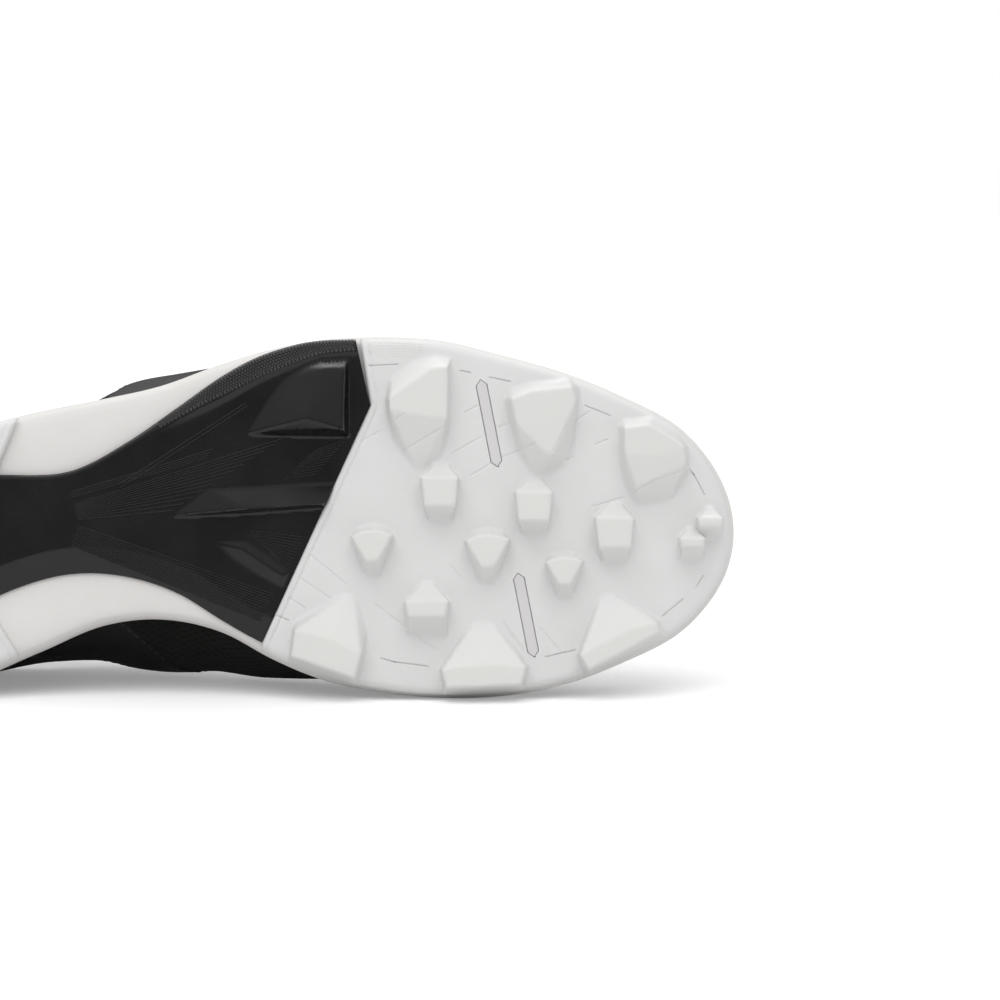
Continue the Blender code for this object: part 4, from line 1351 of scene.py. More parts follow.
def upper_points(place, height):
    """Points of the upper's outer face. Place runs round the shoe, height from lower edge to top line."""
    place, height = np.broadcast_arrays(np.asarray(place, float), np.asarray(height, float))
    knots = [ring_place(row.side, row.station) for row in UPPER_PROFILES]
    place = np.mod(place, 1.0)
    angle = 2 * math.pi * np.minimum(place, 1 - place)
    foot = np.empty(place.shape + (3,))
    outward = np.empty(place.shape + (2,))
    for side in (MEDIAL, LATERAL):
        here = (place <= 0.5) if side == MEDIAL else (place > 0.5)
        foot[here, :2] = edge_points(side, angle[here], FEATHER_INSET)
        outward[here] = (edge_points(side, angle[here], 0) - foot[here, :2]) / FEATHER_INSET
    foot[..., 2] = footbed(foot[..., 0]) + GAP

    def column(*names):
        table = [[getattr(row, name) for name in names] for row in UPPER_PROFILES]
        return smooth_ring(knots, table, place)

    top = column("top_x", "top_y", "top_z")
    lean = np.radians(column("foot_lean", "top_lean"))
    reach = column("foot_reach", "top_reach")
    pull = foot[..., :2] - top[..., :2] + PLAN_PULL * outward
    pull = unit(pull)

    def handle(plan_way, angle_to_vertical, length, sign):
        flat = plan_way * np.sin(angle_to_vertical)[..., None]
        rise = sign * np.cos(angle_to_vertical)[..., None]
        return np.concatenate([flat, rise], -1) * length[..., None]

    low = foot + handle(outward, lean[..., 0], reach[..., 0], 1)
    high = top + handle(pull, lean[..., 1], reach[..., 1], -1)
    t = height[..., None]
    return foot * (1 - t) ** 3 + 3 * low * t * (1 - t) ** 2 + 3 * high * t**2 * (1 - t) + top * t**3


def upper_normal(place, height):
    step = 1e-3
    across = upper_points(place, height + step) - upper_points(place, height - step)
    along = upper_points(place + step, height) - upper_points(place - step, height)
    normal = np.cross(across, along)
    return unit(normal)


def crease_depth(points):
    """How deep the creases press the upper in at these points."""
    plan = points[..., :2].reshape(-1, 2)
    depth = np.zeros(len(plan))
    for crease in CREASES:
        away = plan_distance(plan, line_ends(crease))
        depth += crease.depth * np.exp(-((away / crease.width) ** 2))
    fade = np.clip((points[..., 2] - CREASE_FROM) / CREASE_FADE, 0, 1)
    return depth.reshape(points.shape[:-1]) * fade


def below(place, height, depth):
    """A point under the upper's creased outer face, depth along its normal."""
    points = upper_points(place, height)
    normal = upper_normal(place, height)
    return points - (depth + crease_depth(points))[..., None] * normal


def run_lengths(points, axis):
    """Length walked along one axis of a grid of points, from its first row."""
    steps = np.linalg.norm(np.diff(points, axis=axis), axis=-1)
    start = np.zeros_like(np.take(steps, [0], axis))
    return np.concatenate([start, np.cumsum(steps, axis)], axis)


def wall_piece(name, outer, inner, cloth, ring, material):
    """A closed wall between two sheets of points. In a ring the first row follows the last."""
    rows, columns = outer.shape[:2]
    front = np.arange(rows * columns).reshape(rows, columns)
    back = front + rows * columns
    this = np.arange(rows if ring else rows - 1)
    after = (this + 1) % rows
    quads, places = [], []

    def add(corners, cloth_rows, cloth_columns):
        quads.append(np.stack([c.ravel() for c in corners], 1))
        spots = [cloth[r, c].reshape(-1, 2) for r, c in zip(cloth_rows, cloth_columns)]
        places.append(np.stack(spots, 1))

    a, b = np.meshgrid(this, np.arange(columns - 1), indexing="ij")
    near, far = after[a], b + 1
    rows4, columns4 = (a, a + 1, a + 1, a), (b, b, far, far)
    add((front[a, b], front[near, b], front[near, far], front[a, far]), rows4, columns4)
    add((back[a, b], back[a, far], back[near, far], back[near, b]), (a, a, a + 1, a + 1), (b, far, far, b))
    for column in (0, columns - 1):
        side = np.full_like(this, column)
        add(
            (front[this, column], back[this, column], back[after, column], front[after, column]),
            (this, this, this + 1, this + 1),
            (side, side, side, side),
        )
    if not ring:
        for row in (0, rows - 1):
            j = np.arange(columns - 1)
            end = np.full_like(j, row)
            add(
                (front[row, j], front[row, j + 1], back[row, j + 1], back[row, j]),
                (end, end, end, end),
                (j, j + 1, j + 1, j),
            )
    points = np.concatenate([outer.reshape(-1, 3), inner.reshape(-1, 3)])
    quads = np.concatenate(quads).tolist()
    return new_piece(name, points, quads, material, crease_deg=50, cloth=np.concatenate(places))


def ring_cloth(points):
    """Place of each point of a ring on the flat cloth, with the first row repeated at the end."""
    lap = np.concatenate([points, points[:1]])
    round_it = run_lengths(lap, 0)[:, points.shape[1] // 2]
    return np.stack([np.broadcast_to(round_it[:, None], lap.shape[:2]), run_lengths(lap, 1)], -1)


def woven_cloth():
    """Crossing threads and open pores of a cloth, on its own cloth map in millimetres, with a little fuzz."""
    group, given, result = node_group(
        "woven_cloth",
        {"Thread Pitch": 0.6, "Pore Pitch": 2.4, "Pore Depth": 0.5, "Fuzz": 0.3},
        {"Height": "NodeSocketFloat", "Pores": "NodeSocketFloat", "Fuzz": "NodeSocketFloat"},
    )
    nodes, links = group.nodes, group.links
    place = nodes.new("ShaderNodeUVMap")
    place.uv_map = "cloth"
    split = nodes.new("ShaderNodeSeparateXYZ")
    links.new(place.outputs["UV"], split.inputs["Vector"])

    def maths(operation, first, second=None):
        node = nodes.new("ShaderNodeMath")
        node.operation = operation
        for socket, value in zip(node.inputs, (first, second)):
            if isinstance(value, (int, float)):
                socket.default_value = value
            elif value is not None:
                links.new(value, socket)
        return node.outputs["Value"]

    def waves(pitch):
        turns = maths("DIVIDE", 2 * math.pi, pitch)
        return [maths("SINE", maths("MULTIPLY", split.outputs[axis], turns)) for axis in ("X", "Y")]

    threads = maths("MULTIPLY", *waves(given.outputs["Thread Pitch"]))
    pores = maths("MAXIMUM", maths("MULTIPLY", *waves(given.outputs["Pore Pitch"])), 0.0)
    fuzz = nodes.new("ShaderNodeTexNoise")
    fuzz.inputs["Scale"].default_value = 2.6
    fuzz.inputs["Detail"].default_value = 4.0
    links.new(place.outputs["UV"], fuzz.inputs["Vector"])
    woven = maths("MULTIPLY_ADD", threads, 0.5)
    holes = maths("MULTIPLY", pores, given.outputs["Pore Depth"])
    loose = maths("MULTIPLY", fuzz.outputs["Fac"], given.outputs["Fuzz"])
    links.new(maths("ADD", maths("SUBTRACT", woven, holes), loose), result.inputs["Height"])
    links.new(holes, result.inputs["Pores"])
    links.new(fuzz.outputs["Fac"], result.inputs["Fuzz"])
    return group


WOVEN_CLOTH = woven_cloth()
# Painted shade in the pores: their colour as a share of the darker colour
PORE_PAINTED_SHADE = 0.35


def cloth_material(name, dark, light, rough, weave, bump_mm, sheen=0.05):
    """A cloth: two close colours mixed by its fuzz, with painted shade darkening its pores, and a bump from
    its threads.
    """
    material, nodes, links, shader = new_material(name)
    shader.inputs["Roughness"].default_value = rough
    shader.inputs["Specular IOR Level"].default_value = 0.12
    shader.inputs["Sheen Weight"].default_value = sheen
    shader.inputs["Sheen Roughness"].default_value = 0.5
    cloth = nodes.new("ShaderNodeGroup")
    cloth.node_tree = WOVEN_CLOTH
    for socket, value in weave.items():
        cloth.inputs[socket].default_value = value
    tint = colour_mix(nodes, A=dark, B=light)
    # Painted shade: the pores are darkened towards black, for the shade inside them
    shaded_pores = colour_mix(nodes, B=[c * PORE_PAINTED_SHADE for c in dark])
    bump = nodes.new("ShaderNodeBump")
    bump.inputs["Distance"].default_value = bump_mm / 1000
    links.new(cloth.outputs["Fuzz"], tint.inputs["Factor"])
    links.new(tint.outputs["Result"], shaded_pores.inputs["A"])
    links.new(cloth.outputs["Pores"], shaded_pores.inputs["Factor"])
    links.new(shaded_pores.outputs["Result"], shader.inputs["Base Color"])
    links.new(cloth.outputs["Height"], bump.inputs["Height"])
    links.new(bump.outputs["Normal"], shader.inputs["Normal"])
    return material


mesh_textile = cloth_material(
    "mesh_textile",
    (0.0076, 0.0075, 0.0071),
    (0.0138, 0.0136, 0.0129),
    0.78,
    {"Thread Pitch": 0.7, "Pore Pitch": 2.8, "Pore Depth": 0.8, "Fuzz": 0.3},
    0.12,
)
upper_place, upper_height = np.meshgrid(
    np.arange(UPPER_AROUND) / UPPER_AROUND, np.linspace(0, 1, UPPER_UP), indexing="ij"
)
upper_outer = below(upper_place, upper_height, 0.0)
upper_shell = wall_piece(
    "upper_textile",
    upper_outer,
    below(upper_place, upper_height, TEXTILE),
    ring_cloth(upper_outer),
    True,
    mesh_textile,
)
attach(upper_shell, "black_textile", "upper")


# Lining
# A charcoal tricot lining inside the upper, sewn to it round the collar and the throat and cut a little
# short of its edges.

LINING_AROUND, LINING_UP = 190, 30
LINING_LOW, LINING_HIGH, LINING_CLEAR = 0.004, 0.996, 0.05

lining_cloth = cloth_material(
    "lining_cloth",
    (0.022, 0.022, 0.023),
    (0.038, 0.038, 0.040),
    0.9,
    {"Thread Pitch": 1.1, "Pore Pitch": 3.3, "Pore Depth": 0.25, "Fuzz": 0.5},
    0.16,
    sheen=0.12,
)
lining_place, lining_height = np.meshgrid(
    np.arange(LINING_AROUND) / LINING_AROUND,
    np.linspace(LINING_LOW, LINING_HIGH, LINING_UP),
    indexing="ij",
)
lining_inner = below(lining_place, lining_height, WALL)
lining = wall_piece(
    "upper_lining",
    below(lining_place, lining_height, TEXTILE + LINING_CLEAR),
    lining_inner,
    ring_cloth(lining_inner),
    True,
    lining_cloth,
)
attach(lining, "dark_lining")


# Overlays
# Panels of smooth black synthetic film on the textile: a rand round the toe, a counter round the heel, an
# eyestay round the throat and a saddle on each side. They are heat-bonded, and their cut edges are rounded.

OVERLAY_LIFT, OVERLAY_SUNK, OVERLAY_ROUND, OVERLAY_BACK = 0.4, 0.25, 2.2, 0.15
PANEL_ALONG, SADDLE_ALONG, OVERLAY_UP = 190, 46, 26
# Borders of a panel as heights on the upper, at stations on one side
Border = namedtuple("Border", "side station low high")


def both_sides(first, second, rows):
    """Borders of a panel along one side up to its middle, and the same back along the other side."""
    return [Border(first, *row) for row in rows] + [Border(second, *row) for row in rows[-2::-1]]


PANELS = {
    "toe_rand": both_sides(
        MEDIAL,
        LATERAL,
        [(196, 0.0, 0.03), (216, 0.0, 0.14), (250, 0.0, 0.22), (283, 0.0, 0.28), (298, 0.0, 0.30)],
    ),
    "heel_counter": both_sides(
        LATERAL,
        MEDIAL,
        [(88, 0.0, 0.05), (70, 0.0, 0.30), (46, 0.0, 0.46), (16, 0.0, 0.58), (0, 0.0, 0.64)],
    ),
    "eyestay": both_sides(
        MEDIAL,
        LATERAL,
        [
            (106, 0.95, 1.0), (112, 0.82, 1.0), (124, 0.70, 1.0), (150, 0.70, 1.0),
            (190, 0.72, 1.0), (235, 0.76, 1.0), (270, 0.80, 1.0), (298, 0.82, 1.0),
        ],
    ),
}
# A saddle leans back from the eyestay to the foam: stations of its corners at the top and at the foot
Saddle = namedtuple("Saddle", "side top_back top_front foot_back foot_front")
SADDLES = {
    "saddle_medial": Saddle(MEDIAL, 124, 164, 66, 106),
    "saddle_lateral": Saddle(LATERAL, 124, 164, 96, 142),
}
SADDLE_LOW, SADDLE_HIGH, SADDLE_BOW = 0.0, 0.705, 5.0
# How much of an even spread is left in steps that lie closer together at both ends
EVEN_PART = 0.35


def eased(count):
    """Shares from 0 to 1 that lie closer together at both ends."""
    even = np.linspace(0, 1, count)
    return EVEN_PART * even + (1 - EVEN_PART) * (0.5 - 0.5 * np.cos(math.pi * even))


def overlay_piece(name, place, height, open_top, material):
    """A panel on the upper over a grid of places and heights, with rounded borders sunk into the textile."""
    base = upper_points(place, height)
    up, along = run_lengths(base, 1), run_lengths(base, 0)
    border = np.minimum.reduce([up, along, along[-1:] - along])
    if not open_top:
        border = np.minimum(border, up[:, -1:] - up)
    rounding = np.sqrt(1 - (1 - np.clip(border / OVERLAY_ROUND, 0, 1)) ** 2)
    outer = below(place, height, OVERLAY_SUNK - (OVERLAY_LIFT + OVERLAY_SUNK) * rounding)
    cloth = np.stack([along, up], -1)
    inner = below(place, height, OVERLAY_SUNK + OVERLAY_BACK)
    return wall_piece(name, outer, inner, cloth, False, material)


def panel_grid(borders, count):
    """Places and heights of a panel between its two borders."""
    knots = np.unwrap([ring_place(b.side, b.station) for b in borders], period=1)
    run = knots[0] + (knots[-1] - knots[0]) * eased(count)
    low = smooth(knots, [b.low for b in borders], run)[:, None]
    high = np.minimum(smooth(knots, [b.high for b in borders], run), 1.0)[:, None]
    share = eased(OVERLAY_UP)[None, :]
    return np.broadcast_to(run[:, None], (count, OVERLAY_UP)), low + (high - low) * share


def saddle_grid(saddle, count):
    """Places and heights of a saddle, whose two sides bow a little."""
    share = eased(OVERLAY_UP)[None, :]
    across = eased(count)[:, None]
    foot = saddle.foot_back + (saddle.foot_front - saddle.foot_back) * across
    top = saddle.top_back + (saddle.top_front - saddle.top_back) * across
    bow = SADDLE_BOW * np.sin(math.pi * share) * (0.5 - across)
    place = ring_place(saddle.side, foot + (top - foot) * share + bow)
    height = SADDLE_LOW + (SADDLE_HIGH - SADDLE_LOW) * share
    return place, np.broadcast_to(height, (count, OVERLAY_UP))


def film_material(name, dark, light):
    """A smooth synthetic film with a fine pebbled grain and a faint coat."""
    material = moulded_material(name, dark, light, (0.42, 0.56), 1500, 0.06)
    shader = material.node_tree.nodes["Principled BSDF"]
    shader.inputs["Specular IOR Level"].default_value = 0.25
    shader.inputs["Coat Weight"].default_value = 0.03
    shader.inputs["Coat Roughness"].default_value = 0.35
    return material


overlay_film = film_material("overlay_film", (0.0042, 0.0041, 0.0040), (0.0068, 0.0067, 0.0065))
overlay_grids = {name: panel_grid(borders, PANEL_ALONG) for name, borders in PANELS.items()}
overlay_grids.update({name: saddle_grid(saddle, SADDLE_ALONG) for name, saddle in SADDLES.items()})
for name, (place, height) in overlay_grids.items():
    attach(overlay_piece(name, place, height, name == "eyestay", overlay_film), "black_textile")


# Stitching
# Rows of black polyester lockstitch inside the borders of the panels, sewn through film and textile. Each
# stitch is drawn down into the film.

STITCH_IN = 2.4
STITCH_LONG, STITCH_GAP, STITCH_THICK, STITCH_SUNK = 2.3, 0.9, 0.42, 0.12
# The two seams of a saddle run along these rows of its grid, short of its ends
SADDLE_SEAMS, SEAM_SPAN = (3, -4), slice(2, -2)


def stitch_tree():
    """Lays one short thread on every point of a mesh, along its way and flat to its out attribute."""
    tree, given, result = geometry_tree("lockstitch", {"Thread Length": 0.0023, "Thread Thickness": 0.0004})
    nodes, links = tree.nodes, tree.links
    turns = []
    for attribute, axis in (("way", "X"), ("out", "Z")):
        read = nodes.new("GeometryNodeInputNamedAttribute")
        read.data_type = "FLOAT_VECTOR"
        read.inputs["Name"].default_value = attribute
        turn = nodes.new("FunctionNodeAlignRotationToVector")
        turn.axis = axis
        links.new(read.outputs["Attribute"], turn.inputs["Vector"])
        turns.append(turn)
    turns[1].pivot_axis = "X"
    links.new(turns[0].outputs["Rotation"], turns[1].inputs["Rotation"])
    thread = nodes.new("GeometryNodeMeshUVSphere")
    thread.inputs["Segments"].default_value = 8
    thread.inputs["Rings"].default_value = 5
    thread.inputs["Radius"].default_value = 0.5
    size = nodes.new("ShaderNodeCombineXYZ")
    links.new(given.outputs["Thread Length"], size.inputs["X"])
    links.new(given.outputs["Thread Thickness"], size.inputs["Y"])
    links.new(given.outputs["Thread Thickness"], size.inputs["Z"])
    place = nodes.new("GeometryNodeInstanceOnPoints")
    links.new(given.outputs["Geometry"], place.inputs["Points"])
    links.new(thread.outputs["Mesh"], place.inputs["Instance"])
    links.new(turns[1].outputs["Rotation"], place.inputs["Rotation"])
    links.new(size.outputs["Vector"], place.inputs["Scale"])
    return close_tree(tree, given, result, place.outputs["Instances"])


def even_steps(run, step):
    """Shares of a run of points at even steps along it, as fractional row numbers."""
    walked = run_lengths(run, 0)
    return np.interp(np.arange(step / 2, walked[-1], step), walked, np.arange(len(run)))


def border_run(place, height, row_share):
    """A run along a panel at a share of the way between its borders, given for each of its rows."""
    column = np.arange(place.shape[1])
    inner = [np.interp(share, column, values) for share, values in zip(row_share, height)]
    around = [np.interp(share, column, values) for share, values in zip(row_share, place)]
    return np.array(around), np.array(inner)


def stitch_rows():
    """Place and height of every stitch row.

    They run along both sides of a saddle, inside both borders of the eyestay and inside the upper border of
    the other panels."""
    rows = []
    for name, (place, height) in overlay_grids.items():
        up = run_lengths(upper_points(place, height), 1)
        wide = up[:, -1] > 3 * STITCH_IN
        column = np.arange(place.shape[1])
        from_low = [np.interp(STITCH_IN, walked, column) for walked in up[wide]]
        from_high = [np.interp(walked[-1] - STITCH_IN, walked, column) for walked in up[wide]]
        if name.startswith("saddle"):
            for row in SADDLE_SEAMS:
                rows.append((place[row, SEAM_SPAN], height[row, SEAM_SPAN]))
            continue
        if name == "eyestay":
            rows.append(border_run(place[wide], height[wide], from_low))
        rows.append(border_run(place[wide], height[wide], from_high))
    return rows


def stitch_points():
    spots, ways, outs = [], [], []
    for place, height in stitch_rows():
        run = below(place, height, STITCH_SUNK - OVERLAY_LIFT)
        at = even_steps(run, STITCH_LONG + STITCH_GAP)
        number = np.arange(len(run))
        spot = np.column_stack([np.interp(at, number, run[:, axis]) for axis in range(3)])
        spots.append(spot)
        ways.append(np.gradient(spot, axis=0))
        outs.append(upper_normal(np.interp(at, number, place), np.interp(at, number, height)))
    return np.concatenate(spots), np.concatenate(ways), np.concatenate(outs)


black_thread = moulded_material(
    "black_thread", (0.016, 0.016, 0.016), (0.03, 0.03, 0.03), (0.5, 0.7), 4000, 0.05
)
stitch_spots, stitch_ways, stitch_outs = stitch_points()
stitches = grown_piece(
    "panel_stitches",
    point_mesh("stitch_points", stitch_spots, way=stitch_ways, out=stitch_outs),
    stitch_tree(),
    {"Thread Length": STITCH_LONG / 1000, "Thread Thickness": STITCH_THICK / 1000},
    black_thread,
)
attach(stitches, "black_textile")


# Collar
# A foam roll covered with the lining cloth, turned over the top line from one end of the eyestay round the
# heel to the other. It is fullest at the ankle and thins towards the eyestay.

COLLAR_FRONT = 108.0
COLLAR_ALONG, COLLAR_ROUND = 150, 40
# How full the roll is at its ends, and the share of its length and the power with which it swells from there
COLLAR_THIN, COLLAR_TAPER, COLLAR_SWELL = 0.3, 0.2, 0.7
# Only what lies further down and in than this is thinner there
COLLAR_KEPT_DOWN, COLLAR_KEPT_IN = 4.2, 2.0
# Heights on the upper that give the ways down and in
COLLAR_DOWN_AT, COLLAR_IN_AT = 0.97, 0.99
# Section of the roll: how far down from the top line and how far in from the upper's outer face
Spot = namedtuple("Spot", "down inward")
COLLAR_SECTION = [
    Spot(4.2, -0.5),
    Spot(1.2, -1.1),
    Spot(-1.5, 0.4),
    Spot(-2.0, 3.0),
    Spot(-0.6, 6.0),
    Spot(4.0, 8.2),
    Spot(10.0, 8.6),
    Spot(16.0, 6.2),
    Spot(20.0, 2.6),
    Spot(16.0, 1.6),
    Spot(8.0, 1.2),
    Spot(4.4, 0.4),
]


def tube_piece(name, rings, material):
    """A closed tube through rings of points, with flat ends and a cloth map along and round it."""
    count, around = rings.shape[:2]
    lap = np.concatenate([rings, rings[:, :1]], 1)
    cloth = np.stack([run_lengths(lap, 0), run_lengths(lap, 1)], -1)
    number = np.arange(count * around).reshape(count, around)
    a, b = np.meshgrid(np.arange(count - 1), np.arange(around), indexing="ij")
    far = (b + 1) % around
    corners = [(a, b, b), (a + 1, b, b), (a + 1, far, b + 1), (a, far, b + 1)]
    quads = np.stack([number[r, c].ravel() for r, c, _ in corners], 1).tolist()
    places = np.stack([cloth[r, m].reshape(-1, 2) for r, _, m in corners], 1).reshape(-1, 2)
    for row in (0, count - 1):
        quads.append(number[row].tolist())
        places = np.concatenate([places, cloth[row, :-1]])
    return new_piece(name, rings.reshape(-1, 3), quads, material, cloth=places)


def collar_rings():
    start, end = ring_place(LATERAL, COLLAR_FRONT) - 1, ring_place(MEDIAL, COLLAR_FRONT)
    place = start + (end - start) * eased(COLLAR_ALONG)
    knots = np.arange(len(COLLAR_SECTION)) / len(COLLAR_SECTION)
    table = [(spot.down, spot.inward) for spot in COLLAR_SECTION]
    section = smooth_ring(knots, table, np.arange(COLLAR_ROUND) / COLLAR_ROUND)
    share = (place - start) / (end - start)
    swell = np.clip(np.minimum(share, 1 - share) / COLLAR_TAPER, 0, 1) ** COLLAR_SWELL
    full = COLLAR_THIN + (1 - COLLAR_THIN) * swell
    top = upper_points(place, 1.0)
    down = upper_points(place, COLLAR_DOWN_AT) - top
    down = unit(down)
    inward = -upper_normal(place, np.full_like(place, COLLAR_IN_AT))

    def thinned(values, kept):
        return np.where(values > kept, kept + (values - kept) * full[:, None], values)

    slump = thinned(section[:, 0], COLLAR_KEPT_DOWN)
    bulge = thinned(section[:, 1], COLLAR_KEPT_IN)
    return top[:, None] + slump[..., None] * down[:, None] + bulge[..., None] * inward[:, None]


collar = tube_piece("collar_roll", collar_rings(), lining_cloth)
attach(collar, "dark_lining")


# Insole
# A loose moulded foam insole under charcoal cloth, laid on the midsole inside the upper. Its upper edge is
# rounded, and it is pressed in a little under the heel and the ball.

INSOLE = 4.0
INSOLE_EDGE = [
    Shoulder(0, 0),
    Shoulder(-0.4, 2.6),
    Shoulder(-0.2, 3.4),
    Shoulder(0.6, 3.85),
    Shoulder(1.8, 4),
]
INSOLE_INSET = FEATHER_INSET + WALL + GAP
INSOLE_AROUND = 260
# Depth and half size of the two hollows, and their middles
INSOLE_DISH, DISH_SIZE = 1.1, (30, 20)
DISHES = [(42, 15), (206, 4)]
# The edge stands out further at the waist, where the wall of the upper leans out
WAIST, WAIST_REACH, WAIST_FILL = 118.0, 46.0, 1.7

insole_cloth = cloth_material(
    "insole_cloth",
    (0.024, 0.024, 0.026),
    (0.040, 0.040, 0.043),
    0.92,
    {"Thread Pitch": 0.9, "Pore Pitch": 2.7, "Pore Depth": 0.15, "Fuzz": 0.6},
    0.12,
    sheen=0.12,
)


def insole_loops():
    loops = []
    for row in INSOLE_EDGE:
        plan = sole_loop(INSOLE_INSET + row.inset, INSOLE_AROUND)
        fuller = sole_loop(INSOLE_INSET + row.inset - WAIST_FILL, INSOLE_AROUND)
        plan += np.exp(-(((plan[:, :1] - WAIST) / WAIST_REACH) ** 2)) * (fuller - plan)
        loops.append(np.column_stack([plan, footbed(plan[:, 0]) + GAP + row.height]))
    return loops


def insole_roof(plan):
    """The top of the insole, pressed a little where the heel and the ball of the foot lie."""
    top = footbed(plan[:, 0]) + GAP + INSOLE
    for middle in DISHES:
        away = np.linalg.norm((plan - middle) / DISH_SIZE, axis=1)
        top = top - INSOLE_DISH * np.exp(-(away**2))
    return top


insole = stacked_piece(
    "insole_pad",
    insole_loops(),
    lambda plan: footbed(plan[:, 0]) + GAP,
    insole_roof,
    pitch=5.0,
    material=insole_cloth,
    flat_cloth=True,
)
attach(insole, "dark_lining", "insole")


# Tongue
# A padded tongue of textile over foam, sewn in at the front of the throat, with two sewn channels along it
# and a rounded free end that stands up behind the top eyelets.

TONGUE = 4.0
TUCK = 0.10
TONGUE_CLEAR = 1.2
THROAT_FRONT, THROAT_BACK = 197.5, 115.0
THROAT_CROWN = 1.6
THROAT_END, THROAT_STEPS = 106, 200
TONGUE_ROWS, TONGUE_LONG, TONGUE_ACROSS = 10, 96, 45
# It thins to its edge over a length at the free end and over a share of its width at the sides
TONGUE_EDGE, TONGUE_END_THIN, TONGUE_SIDE_THIN = 0.9, 5.0, 0.125
# Channels as shares of the width and depths. They start a little way from the free end, past a cross seam.
TONGUE_CHANNELS = [(0.33, 0.55), (0.67, 0.55)]
CHANNEL_WIDTH, CHANNEL_FROM, CHANNEL_FADE = 0.025, 14.0, 4.0
CROSS_SEAM, CROSS_SEAM_DEPTH, CROSS_SEAM_WIDTH = 9.0, 0.5, 1.0
# Rows of the free end: how far back and up from the last row under the laces, and how wide and how bowed
Tip = namedtuple("Tip", "back rise width bow")
TONGUE_TIP = [
    Tip(8, 6, 0.80, 0.85),
    Tip(14, 14, 0.86, 0.65),
    Tip(18.5, 23, 0.88, 0.5),
    Tip(21.5, 30, 0.80, 0.42),
    Tip(22.6, 33.5, 0.62, 0.4),
]


def throat_places(station):
    """Ring places of the medial and lateral edges of the throat at these stations."""
    found = []
    for side in (MEDIAL, LATERAL):
        place = np.linspace(ring_place(side, THROAT_END), 0.5, THROAT_STEPS)
        found.append(np.interp(station, upper_points(place, 1.0)[:, 0], place))
    return found


def throat_rows(station, depth, edge):
    """Rows of points across the throat, one for each station, from under one eyestay to the other."""
    medial, lateral = throat_places(np.asarray(station, float))

    def under_face(place, height):
        return upper_points(place, height) - depth * upper_normal(place, height)

    heights = [1 - edge, 1 - edge / 2, 1.0]
    left = [under_face(medial, h) for h in heights]
    right = [under_face(lateral, h) for h in heights]
    middle = []
    for share in (0.25, 0.5, 0.75):
        rise = THROAT_CROWN * 4 * share * (1 - share)
        middle.append(left[-1] * (1 - share) + right[-1] * share + [0, 0, rise])
    return np.stack(left + middle + right[::-1], axis=1)


def smooth_rows(rows, count):
    """Rows of points along the first axis, evened out to another count on a smooth curve."""
    walked = run_lengths(rows, 0).mean(axis=1)
    evened = smooth(walked, rows.reshape(len(rows), -1), np.linspace(0, walked[-1], count))
    return evened.reshape(count, *rows.shape[1:])


def tongue_sheet():
    stations = np.linspace(THROAT_FRONT, THROAT_BACK, TONGUE_ROWS)
    rows = list(throat_rows(stations, WALL + TONGUE_CLEAR, TUCK))
    last = rows[-1]
    crown = last[len(last) // 2]
    for tip in TONGUE_TIP:
        rows.append(crown + (last - crown) * [tip.bow, tip.width, tip.bow] + [-tip.back, 0, tip.rise])
    long_way = smooth_rows(np.array(rows)[::-1], TONGUE_LONG)
    return np.swapaxes(smooth_rows(np.swapaxes(long_way, 0, 1), TONGUE_ACROSS), 0, 1)


def tongue_faces():
    """The outer and inner face of the tongue, thin at its borders and pressed in along its channels."""
    sheet = tongue_sheet()
    normal = np.cross(np.gradient(sheet, axis=1), np.gradient(sheet, axis=0))
    normal = unit(normal)
    across = np.linspace(0, 1, TONGUE_ACROSS)[None, :]
    along = run_lengths(sheet, 0)
    border = np.minimum(along / TONGUE_END_THIN, np.minimum(across, 1 - across) / TONGUE_SIDE_THIN)
    thick = TONGUE_EDGE + (TONGUE - TONGUE_EDGE) * np.sqrt(1 - (1 - np.clip(border, 0, 1)) ** 2)
    pressed = sum(depth * np.exp(-(((across - at) / CHANNEL_WIDTH) ** 2)) for at, depth in TONGUE_CHANNELS)
    pressed = pressed * np.clip((along - CHANNEL_FROM) / CHANNEL_FADE, 0, 1)
    pressed += CROSS_SEAM_DEPTH * np.exp(-(((along - CROSS_SEAM) / CROSS_SEAM_WIDTH) ** 2))
    outer = sheet - ((TONGUE - thick) / 2 + pressed)[..., None] * normal
    inner = sheet - ((TONGUE + thick) / 2)[..., None] * normal
    return outer, inner, np.stack([along, run_lengths(sheet, 1)], -1)


tongue_cloth = cloth_material(
    "tongue_cloth",
    (0.010, 0.010, 0.010),
    (0.020, 0.020, 0.0195),
    0.82,
    {"Thread Pitch": 0.8, "Pore Pitch": 3.2, "Pore Depth": 0.5, "Fuzz": 0.4},
    0.14,
)
tongue = wall_piece("tongue_pad", *tongue_faces(), False, tongue_cloth)
attach(tongue, "black_textile", "tongue")


# Eyelets
# Six punched eyelets on each side of the throat, which hold the lace. Each has a black moulded ring that
# is pressed into the eyestay.

EYELETS = [189, 175, 161, 147, 133, 119.5]
EYELET_EDGE = 0.085
EYELET_RADIUS, EYELET_WIRE, EYELET_PROUD = 2.9, 0.75, 0.15
RING_SIDES, WIRE_SIDES = 28, 10


